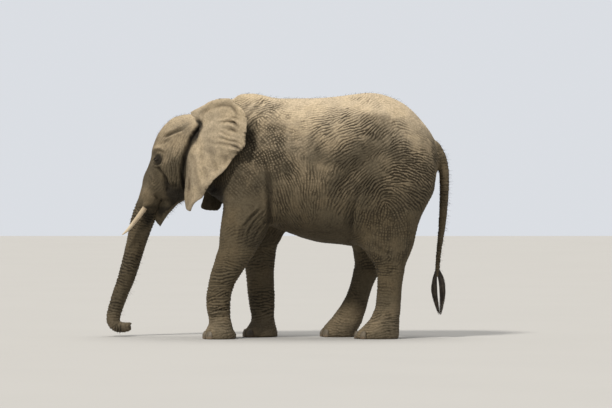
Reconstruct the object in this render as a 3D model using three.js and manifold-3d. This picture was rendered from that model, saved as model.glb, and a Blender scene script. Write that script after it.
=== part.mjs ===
// African elephant: a young adult cow standing still, head low and turned a little to her right,
// trunk reaching down. Millimetres, +Z up. She faces -X, and her left side is at -Y.
//
// The flesh of the trunk of the body, neck, head and upper legs is one smooth form, written as a
// field that is negative inside. It is skinned length by length and parted by thin cuts. The lower
// legs, feet, trunk, ears, tusks and tail are swept or squashed from cylinders and spheres.

import * as THREE from 'three';
import { mergeVertices } from 'three/addons/utils/BufferGeometryUtils.js';
import Module from 'manifold-3d';

const wasm = await Module();
wasm.setup();

// ---------------------------------------------------------------- driving dimensions

const GAP = 0.3; // clearance between sub-parts that touch

const SLIVER = 0.06; // facets thinner than this, left by cuts, are closed up

// Size of the facets on each part of the smooth form.
const TORSO_CELL = 134;
const NECK_CELL = 112;
const HEAD_CELL = 70;
const JAW_CELL = 48;
const UPPER_LEG_CELL = 100;

// Torso, at stations from chest to rump: x, top, bottom, half width.
const TORSO = [
  [-600, 2150, 1500, 120],
  [-520, 2290, 1370, 230],
  [-420, 2385, 1270, 300],
  [-250, 2450, 1180, 360],
  [-30, 2408, 1105, 430],
  [200, 2404, 1010, 510],
  [450, 2408, 945, 560],
  [700, 2434, 925, 555],
  [937, 2459, 955, 510],
  [1150, 2408, 1060, 455],
  [1320, 2306, 1180, 400],
  [1450, 2165, 1300, 330],
  [1545, 2035, 1500, 235],
  [1595, 1935, 1690, 150],
  [1618, 1870, 1780, 70],
];
const TORSO_WIDEST = 0.4; // height of the widest line of the ribs, from belly to back
const BACK_ROUNDNESS = 2.05; // 2 is an ellipse, more is squarer
const BELLY_ROUNDNESS = 2.3;
const HIP_BONE = { middle: [930, 255, 2110], radii: [190, 120, 150] }; // x, side, z

// Neck, from the back of the skull to the withers: x, top, bottom, y of its middle, half width.
const NECK = [
  [-960, 2110, 1560, 150, 150],
  [-850, 2195, 1510, 120, 205],
  [-740, 2262, 1462, 85, 235],
  [-620, 2325, 1395, 50, 262],
  [-500, 2378, 1310, 25, 290],
  [-380, 2412, 1260, 0, 310],
];
const NECK_ROUNDNESS = 2.2;

// Head frame: forward and left are measured from this vertical axis, turned by the yaw.
const HEAD_X = -1060;
const HEAD_Y = 150;
const HEAD_YAW = THREE.MathUtils.degToRad(22);

// Skull, in level slices: z, forward edge, back edge, half width.
const SKULL = [
  [1385, 130, -90, 60],
  [1410, 195, -150, 122],
  [1450, 240, -205, 168],
  [1520, 275, -280, 214],
  [1600, 285, -340, 243],
  [1700, 255, -390, 262],
  [1800, 222, -430, 268],
  [1900, 205, -450, 262],
  [2000, 168, -455, 245],
  [2080, 122, -450, 216],
  [2150, 62, -430, 172],
  [2200, 0, -390, 126],
  [2228, -55, -330, 76],
  [2240, -120, -270, 28],
];
const SKULL_WIDEST = 0.4; // share of the skull's depth, from the back, where it is widest
const SKULL_ROUNDNESS = 2.2;

// What stands out of the face and what sinks into it: balls as middle and radii, rods as two rows
// of forward, side, z, radius. Each melts into the skull over its fillet.
const CHEEKBONE = { middle: [-40, 205, 1722], radii: [165, 72, 72], fillet: 70 };
const CHEWING_MUSCLE = { top: [-120, 160, 1660, 92], foot: [-60, 110, 1500, 74], fillet: 80 };
const TEMPLE_HOLLOW = { middle: [-120, 312, 1985], radii: [120, 74, 105], fillet: 60 };
const CHEEK_HOLLOW = { middle: [60, 262, 1560], radii: [60, 62, 130], fillet: 50 };
const TUSK_SHEATH = { top: [70, 126, 1680, 88], foot: [208, 160, 1402, 63], fillet: 45 };
const BROW = { front: [118, 178, 1862, 40], back: [-10, 224, 1880, 36], fillet: 40 };
const EYE_SOCKET = { middle: [74, 290, 1800], radii: [52, 55, 40], fillet: 26 };

// Fillets where the large masses of flesh meet.
const HIP_FILLET = 130;
const NECK_FILLET = 150;
const LEG_FILLET = 110;
const TRUNK_FILLET = 55;
const HEAD_FILLET = 110;

// Eyes, in the head frame.
const EYE = { forward: 62, left: 238, z: 1790, radius: 24 };

// Tusks, from the root hidden in the lip to the tip: forward, left, z, radius.
const TUSK = [
  [165, 150, 1400, 29],
  [213, 166, 1325, 28],
  [300, 186, 1205, 25],
  [385, 203, 1098, 18],
  [440, 212, 1045, 10],
  [466, 215, 1026, 3],
];

const TUSK_LENGTH = 530;

// Lower jaw, a wedge along the middle of the head: forward, z, radius; it is wider than deep.
const JAW = [
  [-110, 1480, 104],
  [0, 1385, 68],
  [84, 1260, 42],
  [136, 1165, 29],
  [164, 1100, 16],
];
const JAW_WIDTH = 1.35;

// Trunk, along its middle line from inside the face to the tip: x, y, z, radius.
const TRUNK = [
  [-1224, 217, 1560, 129],
  [-1310, 250, 1330, 121],
  [-1384, 278, 1130, 110],
  [-1430, 294, 960, 93],
  [-1482, 312, 770, 87],
  [-1540, 332, 580, 80],
  [-1608, 348, 400, 71],
  [-1658, 358, 250, 67],
  [-1670, 356, 160, 62],
  [-1636, 350, 104, 55],
  [-1566, 342, 90, 47],
  [-1500, 336, 102, 38],
];
const TRUNK_WIDTH = 1.08; // the trunk is a little wider than it is deep
const TRUNK_CUTS = [1262, 830, 440, 190]; // heights where the trunk's lengths part
const TRUNK_GAP = 2e-4; // share of the trunk's path left open at each cut
const CHIN_ROOM = 160; // height above the first cut that stays clear behind the trunk

// Legs, in level slices: z, front edge, back edge, y of the middle, half width.
const SHOULDER = [
  [1300, -556, -84, 262, 156],
  [1500, -552, -82, 256, 146],
  [1700, -525, -80, 235, 125],
  [1900, -465, -90, 200, 100],
  [2050, -390, -115, 160, 70],
];
const THIGH = [
  [1350, 742, 1500, 245, 222],
  [1430, 758, 1548, 240, 222],
  [1500, 785, 1572, 234, 216],
  [1600, 808, 1570, 222, 200],
  [1700, 832, 1556, 209, 182],
  [1850, 870, 1515, 190, 150],
  [2050, 930, 1430, 160, 100],
];
const FORELEG_LEFT = [
  [0, -736, -420, 255, 156],
  [14, -745, -412, 255, 165],
  [50, -744, -412, 255, 166],
  [100, -716, -446, 255, 150],
  [160, -688, -458, 253, 122],
  [210, -698, -470, 252, 117],
  [350, -720, -470, 250, 122],
  [470, -716, -456, 250, 124],
  [570, -694, -414, 250, 128],
  [674, -670, -344, 252, 136],
  [780, -634, -274, 255, 145],
  [900, -606, -190, 258, 155],
  [1010, -595, -121, 260, 160],
  [1110, -586, -100, 262, 160],
  ...SHOULDER,
];
const FORELEG_RIGHT = [
  [0, -355, -8, 250, 156],
  [14, -364, 0, 250, 165],
  [50, -352, -5, 250, 164],
  [90, -322, -16, 250, 150],
  [165, -276, -34, 250, 122],
  [262, -290, -38, 250, 118],
  [400, -311, -30, 250, 122],
  [535, -323, -40, 250, 126],
  [660, -334, -40, 252, 136],
  [775, -356, -30, 255, 145],
  [905, -390, -8, 258, 155],
  [1010, -420, 54, 260, 160],
  [1080, -436, 58, 262, 160],
  [1190, -480, 0, 262, 158],
  ...SHOULDER,
];
const HINDLEG_LEFT = [
  [0, 776, 1200, 235, 132],
  [14, 766, 1208, 235, 141],
  [50, 768, 1210, 235, 142],
  [100, 816, 1211, 236, 137],
  [170, 886, 1214, 238, 126],
  [260, 950, 1220, 240, 115],
  [345, 968, 1227, 241, 111],
  [470, 979, 1232, 243, 112],
  [590, 985, 1246, 246, 118],
  [650, 982, 1259, 247, 124],
  [720, 950, 1280, 249, 134],
  [810, 900, 1310, 251, 150],
  [930, 825, 1351, 252, 172],
  [1060, 764, 1386, 251, 195],
  [1160, 744, 1411, 250, 208],
  [1260, 737, 1452, 248, 218],
  ...THIGH,
];
const HINDLEG_RIGHT = [
  [0, 436, 772, 235, 132],
  [14, 427, 780, 235, 141],
  [50, 428, 790, 235, 142],
  [95, 446, 818, 236, 137],
  [155, 498, 850, 238, 126],
  [240, 566, 878, 240, 117],
  [340, 642, 904, 241, 112],
  [480, 704, 940, 243, 112],
  [590, 738, 990, 246, 118],
  [740, 752, 1084, 249, 138],
  [870, 748, 1184, 251, 162],
  [1000, 742, 1275, 252, 186],
  [1150, 736, 1372, 250, 206],
  [1260, 736, 1440, 248, 218],
  ...THIGH,
];
const LEG_ROUNDNESS = 2.15;
const LEG_SEGMENTS = 14;
const LOWER_LEG_RING = 110; // spacing of the rings of a lower leg
const ANKLE = 205; // height where a foot parts from its lower leg
const ELBOW = 905; // height where the foreleg parts
const KNEE = 725; // height where the hind leg parts
const UPPER_LEG_SPAN = { foreleg: [-660, 90], hindleg: [700, 1650] }; // front and back of the block
const LEG_WALL = { inner: 58, bendZ: 1160, outer: 330, topZ: 1720, reach: 700 };
const FOOT_HEIGHTS = [ANKLE, 155, 100, 50, 14, 0];

// Toenails: how many a foot has, the angle between them, and the radii of one.
const FORE_NAILS = { count: 4, spread: 33, width: 39, height: 36, depth: 19 };
const HIND_NAILS = { count: 3, spread: 34, width: 37, height: 35, depth: 19 };
const NAIL_BASE = 42; // height of a nail's middle
const NAIL_LEAN = 0.3; // the nails lean back with the foot's slope
const NAIL_SUNK = 0.45; // how much of a nail's depth is inside the foot

// Tail, along its middle line from inside the rump: x, z, radius.
const TAIL = [
  [1500, 1985, 46],
  [1578, 1893, 56],
  [1626, 1800, 54],
  [1652, 1715, 48],
  [1663, 1620, 44],
  [1663, 1480, 42],
  [1654, 1290, 37],
  [1636, 1080, 29],
  [1610, 880, 22],
  [1596, 720, 19],
  [1593, 615, 19],
];
const TAIL_MIDDLE = 1200; // height where the tail's two lengths part
const TAIL_LENGTH = 1450;
const TUFT = [
  [1593, 612, 20, 20],
  [1588, 560, 44, 32],
  [1593, 480, 62, 36],
  [1602, 400, 52, 30],
  [1612, 310, 32, 20],
  [1620, 222, 8, 6],
];

// Ear outline in its own plane: distance back from the root, height.
const EAR_OUTLINE = [
  [17, 2258],
  [106, 2300],
  [206, 2348],
  [306, 2386],
  [406, 2404],
  [517, 2388],
  [594, 2290],
  [636, 2140],
  [606, 1970],
  [483, 1822],
  [383, 1682],
  [272, 1600],
  [161, 1480],
  [83, 1370],
  [-22, 1262],
  [-70, 1340],
  [-64, 1500],
  [-39, 1710],
  [-6, 1880],
  [50, 2020],
  [100, 2140],
];
const EAR_MIDDLE = [250, 1950];
const EAR_NARROWEST = 200; // from the middle to the nearest part of the rim
const EAR_ROOT = { forward: -290, left: 250 };
const EAR_LEFT_FLARE = THREE.MathUtils.degToRad(26); // out from the body's long axis
const EAR_RIGHT_FLARE = THREE.MathUtils.degToRad(20);
const EAR_THICKNESS = 17; // half of the blade's thickness
const EAR_ROOT_THICKNESS = 30; // added to that at the root
const EAR_BULGE = 48; // how far the blade's middle stands out
const EAR_DEPTH = 640; // from the root back to the rear edge
const EAR_ROOT_REACH = 150; // how far back the thick root runs
const EAR_ROOT_BASE = 1780; // below this height the root is thinner

// The cut at the shoulder leans forward as it goes down, and the head's passes behind the ears.
const SHOULDER_CUT = { x: -500, z: 1900, lean: 0.15 };
const HEAD_CUT = { forward: -430, z: 2240, lean: 0.228 };

// ---------------------------------------------------------------- curves and fields

// A smooth curve through rows of [position, value, ...], read with evaluate(position).
function curveThrough(rows) {
  const positions = rows.map((row) => row[0]);
  const values = rows.flatMap((row) => row.slice(1));
  return new THREE.CubicInterpolant(positions, values, rows[0].length - 1);
}

// Distance from the point (u, v) to a rounded section with semi-axes a and b; negative inside.
function outsideSection(u, v, a, b, roundness = 2) {
  const shareU = Math.abs(u) / a;
  const shareV = Math.abs(v) / b;
  const reach = (shareU ** roundness + shareV ** roundness) ** (1 / roundness);
  if (reach < 0.05) {
    return -Math.min(a, b);
  }
  const slopeU = shareU ** (roundness - 1) / a;
  const slopeV = shareV ** (roundness - 1) / b;
  return (reach - 1) / (Math.hypot(slopeU, slopeV) * reach ** (1 - roundness));
}

// Joins two fields with a fillet of about the given radius.
function blend(first, second, radius) {
  const overlap = Math.max(radius - Math.abs(first - second), 0) / radius;
  return Math.min(first, second) - (overlap * overlap * radius) / 4;
}

function carve(first, hollow, radius) {
  return -blend(-first, hollow, radius);
}

function outsideBall(u, v, w, { middle, radii }) {
  const shares = [(u - middle[0]) / radii[0], (v - middle[1]) / radii[1], (w - middle[2]) / radii[2]];
  const reach = Math.hypot(...shares);
  const slope = Math.hypot(shares[0] / radii[0], shares[1] / radii[1], shares[2] / radii[2]);
  return reach < 0.05 ? -Math.min(...radii) : (reach * (reach - 1)) / slope;
}

// Distance to a tapering rod between two rows of [u, v, w, radius].
function outsideRod(u, v, w, start, end) {
  const along = [end[0] - start[0], end[1] - start[1], end[2] - start[2]];
  const from = [u - start[0], v - start[1], w - start[2]];
  const dot = along[0] * from[0] + along[1] * from[1] + along[2] * from[2];
  const share = THREE.MathUtils.clamp(dot / (along[0] ** 2 + along[1] ** 2 + along[2] ** 2), 0, 1);
  const off = from.map((value, axis) => value - share * along[axis]);
  return Math.hypot(...off) - THREE.MathUtils.lerp(start[3], end[3], share);
}

function outsideRods(u, v, w, rows) {
  let nearest = Infinity;
  for (let i = 1; i < rows.length; i += 1) {
    nearest = Math.min(nearest, outsideRod(u, v, w, rows[i - 1], rows[i]));
  }
  return nearest;
}

// ---------------------------------------------------------------- the body's form

const torsoCurve = curveThrough(TORSO);
const neckCurve = curveThrough(NECK);
const skullCurve = curveThrough(SKULL);

function firstAndLast(rows) {
  return [rows[0][0], rows[rows.length - 1][0]];
}

const [CHEST_X, RUMP_X] = firstAndLast(TORSO);
const [NECK_FRONT_X, NECK_BACK_X] = firstAndLast(NECK);
const [SKULL_BASE, SKULL_TOP] = firstAndLast(SKULL);

function torsoField(x, y, z) {
  const [top, bottom, halfWidth] = torsoCurve.evaluate(x);
  const middle = THREE.MathUtils.lerp(bottom, top, TORSO_WIDEST);
  const section =
    z > middle
      ? outsideSection(y, z - middle, halfWidth, top - middle, BACK_ROUNDNESS)
      : outsideSection(y, z - middle, halfWidth, middle - bottom, BELLY_ROUNDNESS);
  const barrel = Math.max(section, CHEST_X - x, x - RUMP_X);
  return blend(barrel, outsideBall(x, Math.abs(y), z, HIP_BONE), HIP_FILLET);
}

function neckField(x, y, z) {
  const [top, bottom, middleY, halfWidth] = neckCurve.evaluate(x);
  const middle = (top + bottom) / 2;
  const depth = (top - bottom) / 2;
  const section = outsideSection(y - middleY, z - middle, halfWidth, depth, NECK_ROUNDNESS);
  return Math.max(section, NECK_FRONT_X - x, x - NECK_BACK_X);
}

function legField({ curve, topZ, side }, x, y, z) {
  const [front, back, middleY, halfWidth] = curve.evaluate(z);
  const depth = (back - front) / 2;
  const section = outsideSection(x - front - depth, y - side * middleY, depth, halfWidth, LEG_ROUNDNESS);
  return Math.max(section, z - topZ);
}

// Turns a point of the world into the head's frame, and back.
function toHead(x, y) {
  const dx = x - HEAD_X;
  const dy = y - HEAD_Y;
  return {
    forward: -dx * Math.cos(HEAD_YAW) + dy * Math.sin(HEAD_YAW),
    left: -dx * Math.sin(HEAD_YAW) - dy * Math.cos(HEAD_YAW),
  };
}

function fromHead(forward, left, z) {
  return new THREE.Vector3(
    HEAD_X - forward * Math.cos(HEAD_YAW) - left * Math.sin(HEAD_YAW),
    HEAD_Y + forward * Math.sin(HEAD_YAW) - left * Math.cos(HEAD_YAW),
    z,
  );
}

function skullField(forward, side, z) {
  const [front, back, halfWidth] = skullCurve.evaluate(z);
  const widest = THREE.MathUtils.lerp(back, front, SKULL_WIDEST);
  const depth = forward > widest ? front - widest : widest - back;
  const section = outsideSection(forward - widest, side, depth, halfWidth, SKULL_ROUNDNESS);
  return Math.max(section, SKULL_BASE - z, z - SKULL_TOP);
}

function faceField(forward, side, z) {
  const ball = (shape) => outsideBall(forward, side, z, shape);
  const rod = (start, end) => outsideRod(forward, side, z, start, end);
  const chewingMuscle = rod(CHEWING_MUSCLE.top, CHEWING_MUSCLE.foot);
  let face = blend(skullField(forward, side, z), ball(CHEEKBONE), CHEEKBONE.fillet);
  face = blend(face, chewingMuscle, CHEWING_MUSCLE.fillet);
  face = carve(face, ball(TEMPLE_HOLLOW), TEMPLE_HOLLOW.fillet);
  face = carve(face, ball(CHEEK_HOLLOW), CHEEK_HOLLOW.fillet);
  face = blend(face, rod(TUSK_SHEATH.top, TUSK_SHEATH.foot), TUSK_SHEATH.fillet);
  face = blend(face, rod(BROW.front, BROW.back), BROW.fillet);
  return carve(face, ball(EYE_SOCKET), EYE_SOCKET.fillet);
}

function jawField(forward, side, z) {
  const rows = JAW.map(([along, height, radius]) => [along, 0, height, radius]);
  return outsideRods(forward, side / JAW_WIDTH, z, rows);
}

const legs = {
  foreleg_left: { rows: FORELEG_LEFT, side: -1, joint: ELBOW },
  foreleg_right: { rows: FORELEG_RIGHT, side: 1, joint: ELBOW },
  hindleg_left: { rows: HINDLEG_LEFT, side: -1, joint: KNEE },
  hindleg_right: { rows: HINDLEG_RIGHT, side: 1, joint: KNEE },
};
for (const leg of Object.values(legs)) {
  leg.curve = curveThrough(leg.rows);
  leg.topZ = leg.rows[leg.rows.length - 1][0];
}

const trunkRoot = TRUNK.slice(0, 4);

// The whole of the flesh above the knees and elbows, with the face and the root of the trunk.
function fleshField(x, y, z) {
  let body = blend(torsoField(x, y, z), neckField(x, y, z), NECK_FILLET);
  for (const leg of Object.values(legs)) {
    body = blend(body, legField(leg, x, y, z), LEG_FILLET);
  }
  const { forward, left } = toHead(x, y);
  const side = Math.abs(left);
  const face = blend(faceField(forward, side, z), outsideRods(x, y, z, trunkRoot), TRUNK_FILLET);
  return blend(body, face, HEAD_FILLET);
}

// ---------------------------------------------------------------- skinning and solids

const EDGE_STEPS = [
  [1, 0, 0],
  [0, 1, 0],
  [0, 0, 1],
];

// Moves a point along the field's slope until it lies on the surface.
function settle(point, field, cell) {
  const start = point.clone();
  const step = 1;
  for (let turn = 0; turn < 4; turn += 1) {
    const { x, y, z } = point;
    const value = field(x, y, z);
    const slope = new THREE.Vector3(
      field(x + step, y, z) - value,
      field(x, y + step, z) - value,
      field(x, y, z + step) - value,
    ).divideScalar(step);
    point.addScaledVector(slope, -value / Math.max(slope.lengthSq(), 0.05));
  }
  const move = point.clone().sub(start).clampLength(0, cell * 0.55);
  return start.add(move);
}

// A closed skin over a field inside a box: one vertex in each grid cell that the surface crosses.
function skinOver(field, box, cell) {
  const counts = box.getSize(new THREE.Vector3()).divideScalar(cell).ceil().addScalar(1).toArray();
  const stride = [1, counts[0], counts[0] * counts[1]];
  const values = new Float64Array(counts[0] * counts[1] * counts[2]);
  const onEdge = (index, axis) => index === 0 || index === counts[axis] - 1;
  const place = (i, j, k) => new THREE.Vector3(i, j, k).multiplyScalar(cell).add(box.min);
  for (let k = 0; k < counts[2]; k += 1) {
    for (let j = 0; j < counts[1]; j += 1) {
      for (let i = 0; i < counts[0]; i += 1) {
        const closed = onEdge(i, 0) || onEdge(j, 1) || onEdge(k, 2);
        const at = place(i, j, k);
        values[i + j * stride[1] + k * stride[2]] = closed ? cell : field(at.x, at.y, at.z);
      }
    }
  }
  const corners = [0, 1, 2, 3, 4, 5, 6, 7].map((bits) => [bits & 1, (bits >> 1) & 1, bits >> 2]);
  const vertexOf = new Map();
  const vertices = [];
  for (let k = 0; k < counts[2] - 1; k += 1) {
    for (let j = 0; j < counts[1] - 1; j += 1) {
      for (let i = 0; i < counts[0] - 1; i += 1) {
        const home = i + j * stride[1] + k * stride[2];
        const crossings = [];
        for (const from of corners) {
          for (let axis = 0; axis < 3; axis += 1) {
            if (from[axis] === 1) {
              continue;
            }
            const near = home + from[0] + from[1] * stride[1] + from[2] * stride[2];
            const nearValue = values[near];
            const farValue = values[near + stride[axis]];
            if (nearValue < 0 !== farValue < 0) {
              const share = nearValue / (nearValue - farValue);
              const at = from.map((bit, a) => bit + (a === axis ? share : 0));
              crossings.push(place(i + at[0], j + at[1], k + at[2]));
            }
          }
        }
        if (crossings.length === 0) {
          continue;
        }
        const middle = new THREE.Vector3();
        crossings.forEach((crossing) => middle.addScaledVector(crossing, 1 / crossings.length));
        const inner = [i, j, k].every((at, axis) => at > 0 && at < counts[axis] - 2);
        vertexOf.set(home, vertices.length);
        vertices.push(inner ? settle(middle, field, cell) : middle);
      }
    }
  }
  const triangles = [];
  const addQuad = (a, b, c, d) => {
    const shorter = vertices[a].distanceTo(vertices[c]) < vertices[b].distanceTo(vertices[d]);
    triangles.push(...(shorter ? [a, b, c, a, c, d] : [a, b, d, b, c, d]));
  };
  for (let home = 0; home < values.length; home += 1) {
    for (let axis = 0; axis < 3; axis += 1) {
      const next = home + stride[axis];
      if (next >= values.length || values[home] < 0 === values[next] < 0) {
        continue;
      }
      const sideways = stride[(axis + 1) % 3];
      const across = stride[(axis + 2) % 3];
      const ring = [home - sideways - across, home - across, home, home - sideways];
      const [a, b, c, d] = ring.map((cellIndex) => vertexOf.get(cellIndex));
      if (values[home] < 0) {
        addQuad(a, b, c, d);
      } else {
        addQuad(d, c, b, a);
      }
    }
  }
  const mesh = new wasm.Mesh({
    numProp: 3,
    vertProperties: new Float32Array(vertices.flatMap((vertex) => vertex.toArray())),
    triVerts: new Uint32Array(triangles),
  });
  return new wasm.Manifold(mesh);
}

function solidFrom(geometry) {
  geometry.deleteAttribute('normal');
  geometry.deleteAttribute('uv');
  const merged = mergeVertices(geometry, 1e-3);
  const mesh = new wasm.Mesh({
    numProp: 3,
    vertProperties: new Float32Array(merged.attributes.position.array),
    triVerts: new Uint32Array(merged.index.array),
  });
  return new wasm.Manifold(mesh);
}

function boxOf(minX, minY, minZ, maxX, maxY, maxZ) {
  return new THREE.Box3(new THREE.Vector3(minX, minY, minZ), new THREE.Vector3(maxX, maxY, maxZ));
}

// The room that each skinned part is looked for in.
const JAW_BOX = boxOf(-1320, -80, 1040, -860, 420, 1660);
const HEAD_BOX = boxOf(-1560, -260, 1060, -560, 660, 2340);
const NECK_BOX = boxOf(-1200, -460, 1100, -340, 560, 2560);
const TORSO_BOX = boxOf(-780, -720, 820, 1780, 720, 2580);
const LEG_ROOM = { sides: 60, inner: 20, outer: 640, below: 120, topZ: 1830 };

// Everything on the side of a plane that its normal points to.
function beyond(point, normal) {
  const size = 8000;
  const block = new THREE.BoxGeometry(size, size, size);
  block.translate(0, 0, size / 2);
  const turn = new THREE.Quaternion().setFromUnitVectors(
    new THREE.Vector3(0, 0, 1),
    normal.clone().normalize(),
  );
  block.applyQuaternion(turn);
  block.translate(point.x, point.y, point.z);
  return solidFrom(block);
}

// Deforms a cylinder: place(share along it, angle round it, 0 on the axis or 1 on the rim).
function sweep(segments, rings, place) {
  const cylinder = new THREE.CylinderGeometry(1, 1, 1, segments, rings);
  const position = cylinder.attributes.position;
  const point = new THREE.Vector3();
  for (let i = 0; i < position.count; i += 1) {
    point.fromBufferAttribute(position, i);
    const rim = Math.hypot(point.x, point.z) > 0.5 ? 1 : 0;
    const moved = place(0.5 - point.y, Math.atan2(point.x, point.z), rim);
    position.setXYZ(i, moved.x, moved.y, moved.z);
  }
  return solidFrom(cylinder);
}

// A solid along part of a path, with the radius at each share of it, wider than deep.
function sweepAlong(path, radiusAt, { start, end, width, sideways, segments, rings }) {
  return sweep(segments, rings, (share, angle, rim) => {
    const t = THREE.MathUtils.lerp(start, end, share);
    const middle = path.getPoint(t);
    const tangent = path.getTangent(t);
    const out = new THREE.Vector3().crossVectors(tangent, sideways).normalize();
    const across = new THREE.Vector3().crossVectors(out, tangent).normalize();
    const radius = radiusAt(t) * rim;
    return middle
      .addScaledVector(out, radius * Math.cos(angle))
      .addScaledVector(across, radius * width * Math.sin(angle));
  });
}

// A solid whose level slices lie at the given heights; slice(z) gives x, y and the semi-axes.
function sweepDown(heights, slice, segments, roundness) {
  const last = heights.length - 1;
  return sweep(segments, last, (share, angle, rim) => {
    const z = heights[Math.round(share * last)];
    const { x, y, depth, halfWidth } = slice(z);
    const [cos, sin] = [Math.cos(angle), Math.sin(angle)];
    const reach = (Math.abs(cos) ** roundness + Math.abs(sin) ** roundness) ** (-1 / roundness);
    return new THREE.Vector3(x + rim * reach * depth * cos, y + rim * reach * halfWidth * sin, z);
  });
}

function pathThrough(points) {
  return new THREE.CatmullRomCurve3(points, false, 'catmullrom', 0.5);
}

// The radius at each share of a path whose points carry the given radii.
function radiiAlong(radii) {
  const curve = curveThrough(radii.map((radius, i) => [i / (radii.length - 1), radius]));
  return (t) => curve.evaluate(t)[0];
}

// Where along a path it passes a height, on its way down.
function shareAtHeight(path, height) {
  let low = 0;
  let high = 0.8;
  for (let turn = 0; turn < 40; turn += 1) {
    const middle = (low + high) / 2;
    if (path.getPoint(middle).z > height) {
      low = middle;
    } else {
      high = middle;
    }
  }
  return (low + high) / 2;
}

// ---------------------------------------------------------------- materials and meshes

const elephant = new THREE.Group();

function hide() {
  return new THREE.MeshStandardMaterial({ color: 0x6e665c, roughness: 0.9, metalness: 0 });
}

function ivory() {
  return new THREE.MeshStandardMaterial({ color: 0xd9c7a4, roughness: 0.45, metalness: 0 });
}

function nailHorn() {
  return new THREE.MeshStandardMaterial({ color: 0x8a8073, roughness: 0.6, metalness: 0 });
}

function eyeDark() {
  return new THREE.MeshStandardMaterial({ color: 0x2a1a10, roughness: 0.15, metalness: 0 });
}

function tuftHair() {
  return new THREE.MeshStandardMaterial({ color: 0x1d1b1a, roughness: 0.6, metalness: 0 });
}

function add(name, solid, material) {
  const { vertProperties, triVerts } = solid.simplify(SLIVER).getMesh();
  const geometry = new THREE.BufferGeometry();
  geometry.setAttribute('position', new THREE.Float32BufferAttribute(vertProperties, 3));
  geometry.setIndex(Array.from(triVerts));
  geometry.computeVertexNormals();
  const mesh = new THREE.Mesh(geometry, material);
  mesh.name = name;
  elephant.add(mesh);
}

// ---------------------------------------------------------------- cuts

const AHEAD = new THREE.Vector3(-Math.cos(HEAD_YAW), Math.sin(HEAD_YAW), 0);
const HEAD_SIDEWAYS = new THREE.Vector3(Math.sin(HEAD_YAW), Math.cos(HEAD_YAW), 0);
const UP = new THREE.Vector3(0, 0, 1);

// The two sides of a thin cut through a point.
function thinCut(point, normal) {
  const offset = normal.clone().setLength(GAP / 2);
  return {
    ahead: beyond(point.clone().add(offset), normal),
    behind: beyond(point.clone().sub(offset), normal.clone().negate()),
  };
}

const shoulderCut = thinCut(
  new THREE.Vector3(SHOULDER_CUT.x, 0, SHOULDER_CUT.z),
  new THREE.Vector3(-1, 0, SHOULDER_CUT.lean),
);
const headCut = thinCut(
  fromHead(HEAD_CUT.forward, 0, HEAD_CUT.z),
  AHEAD.clone().addScaledVector(UP, HEAD_CUT.lean),
);

// The block that a leg's upper length is cut from: its inner wall leans out over the ribs.
function upperLegBlock(side, frontX, backX, floorZ, margin) {
  const { inner, bendZ, outer, topZ, reach } = LEG_WALL;
  const corners = [
    [inner - margin, floorZ - margin],
    [inner - margin, bendZ],
    [outer - margin, topZ + margin],
    [reach + margin, topZ + margin],
    [reach + margin, floorZ - margin],
  ];
  const outline = new THREE.Shape(corners.map(([y, z]) => new THREE.Vector2(side * y, z)));
  const depth = backX - frontX + 2 * margin;
  const block = new THREE.ExtrudeGeometry(outline, { depth, bevelEnabled: false });
  block.rotateX(Math.PI / 2);
  block.rotateZ(Math.PI / 2);
  block.translate(frontX - margin, 0, 0);
  return solidFrom(block);
}

function legBlock(name, floorZ, margin) {
  const [frontX, backX] = UPPER_LEG_SPAN[name.split('_')[0]];
  return upperLegBlock(legs[name].side, frontX, backX, floorZ, margin);
}

// ---------------------------------------------------------------- ears

const earOutline = new THREE.CatmullRomCurve3(
  EAR_OUTLINE.map(([back, height]) => new THREE.Vector3(back, height, 0)),
  true,
);

// A flattened sphere whose rim is the ear's outline. It hangs from its root on the head and
// stands out from the neck by its flare; side is -1 for the left ear.
function earSolid(side, flare, grow) {
  const root = fromHead(EAR_ROOT.forward, -side * EAR_ROOT.left, 0);
  const blade = new THREE.SphereGeometry(1, 24, 9);
  const position = blade.attributes.position;
  for (let i = 0; i < position.count; i += 1) {
    const [x, y, z] = [position.getX(i), position.getY(i), position.getZ(i)];
    const reach = Math.hypot(x, z) * (1 + grow / EAR_NARROWEST);
    const turn = (Math.atan2(z, x) / (2 * Math.PI) + 1) % 1;
    const rim = earOutline.getPointAt(turn);
    const back = THREE.MathUtils.lerp(EAR_MIDDLE[0], rim.x, reach);
    const height = THREE.MathUtils.lerp(EAR_MIDDLE[1], rim.y, reach);
    const base = height > EAR_ROOT_BASE ? 1 : 0.35;
    const rootNearness = Math.exp(-((Math.max(back, 0) / EAR_ROOT_REACH) ** 2)) * base;
    const half = EAR_THICKNESS + EAR_ROOT_THICKNESS * rootNearness;
    const thickness = Math.sign(y) * (half * Math.sqrt(Math.abs(y)) + grow);
    const bulge = EAR_BULGE * Math.sin(Math.PI * THREE.MathUtils.clamp(back / EAR_DEPTH, 0, 1));
    const out = bulge + thickness;
    position.setXYZ(
      i,
      root.x + back * Math.cos(flare) - out * Math.sin(flare),
      root.y + side * (back * Math.sin(flare) + out * Math.cos(flare)),
      height,
    );
  }
  if (side > 0) {
    const index = blade.index.array;
    for (let i = 0; i < index.length; i += 3) {
      [index[i], index[i + 1]] = [index[i + 1], index[i]];
    }
  }
  return solidFrom(blade);
}

// ---------------------------------------------------------------- tusks, eyes and jaw

function tuskSolid(left, grow) {
  const points = TUSK.map(([ahead, out, z]) => fromHead(ahead, left * out, z));
  const radiusAt = radiiAlong(TUSK.map((row) => row[3]));
  return sweepAlong(pathThrough(points), (t) => radiusAt(t) + grow, {
    start: (GAP - grow) / TUSK_LENGTH,
    end: 1,
    width: 1,
    sideways: HEAD_SIDEWAYS,
    segments: 8,
    rings: 8,
  });
}

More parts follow.
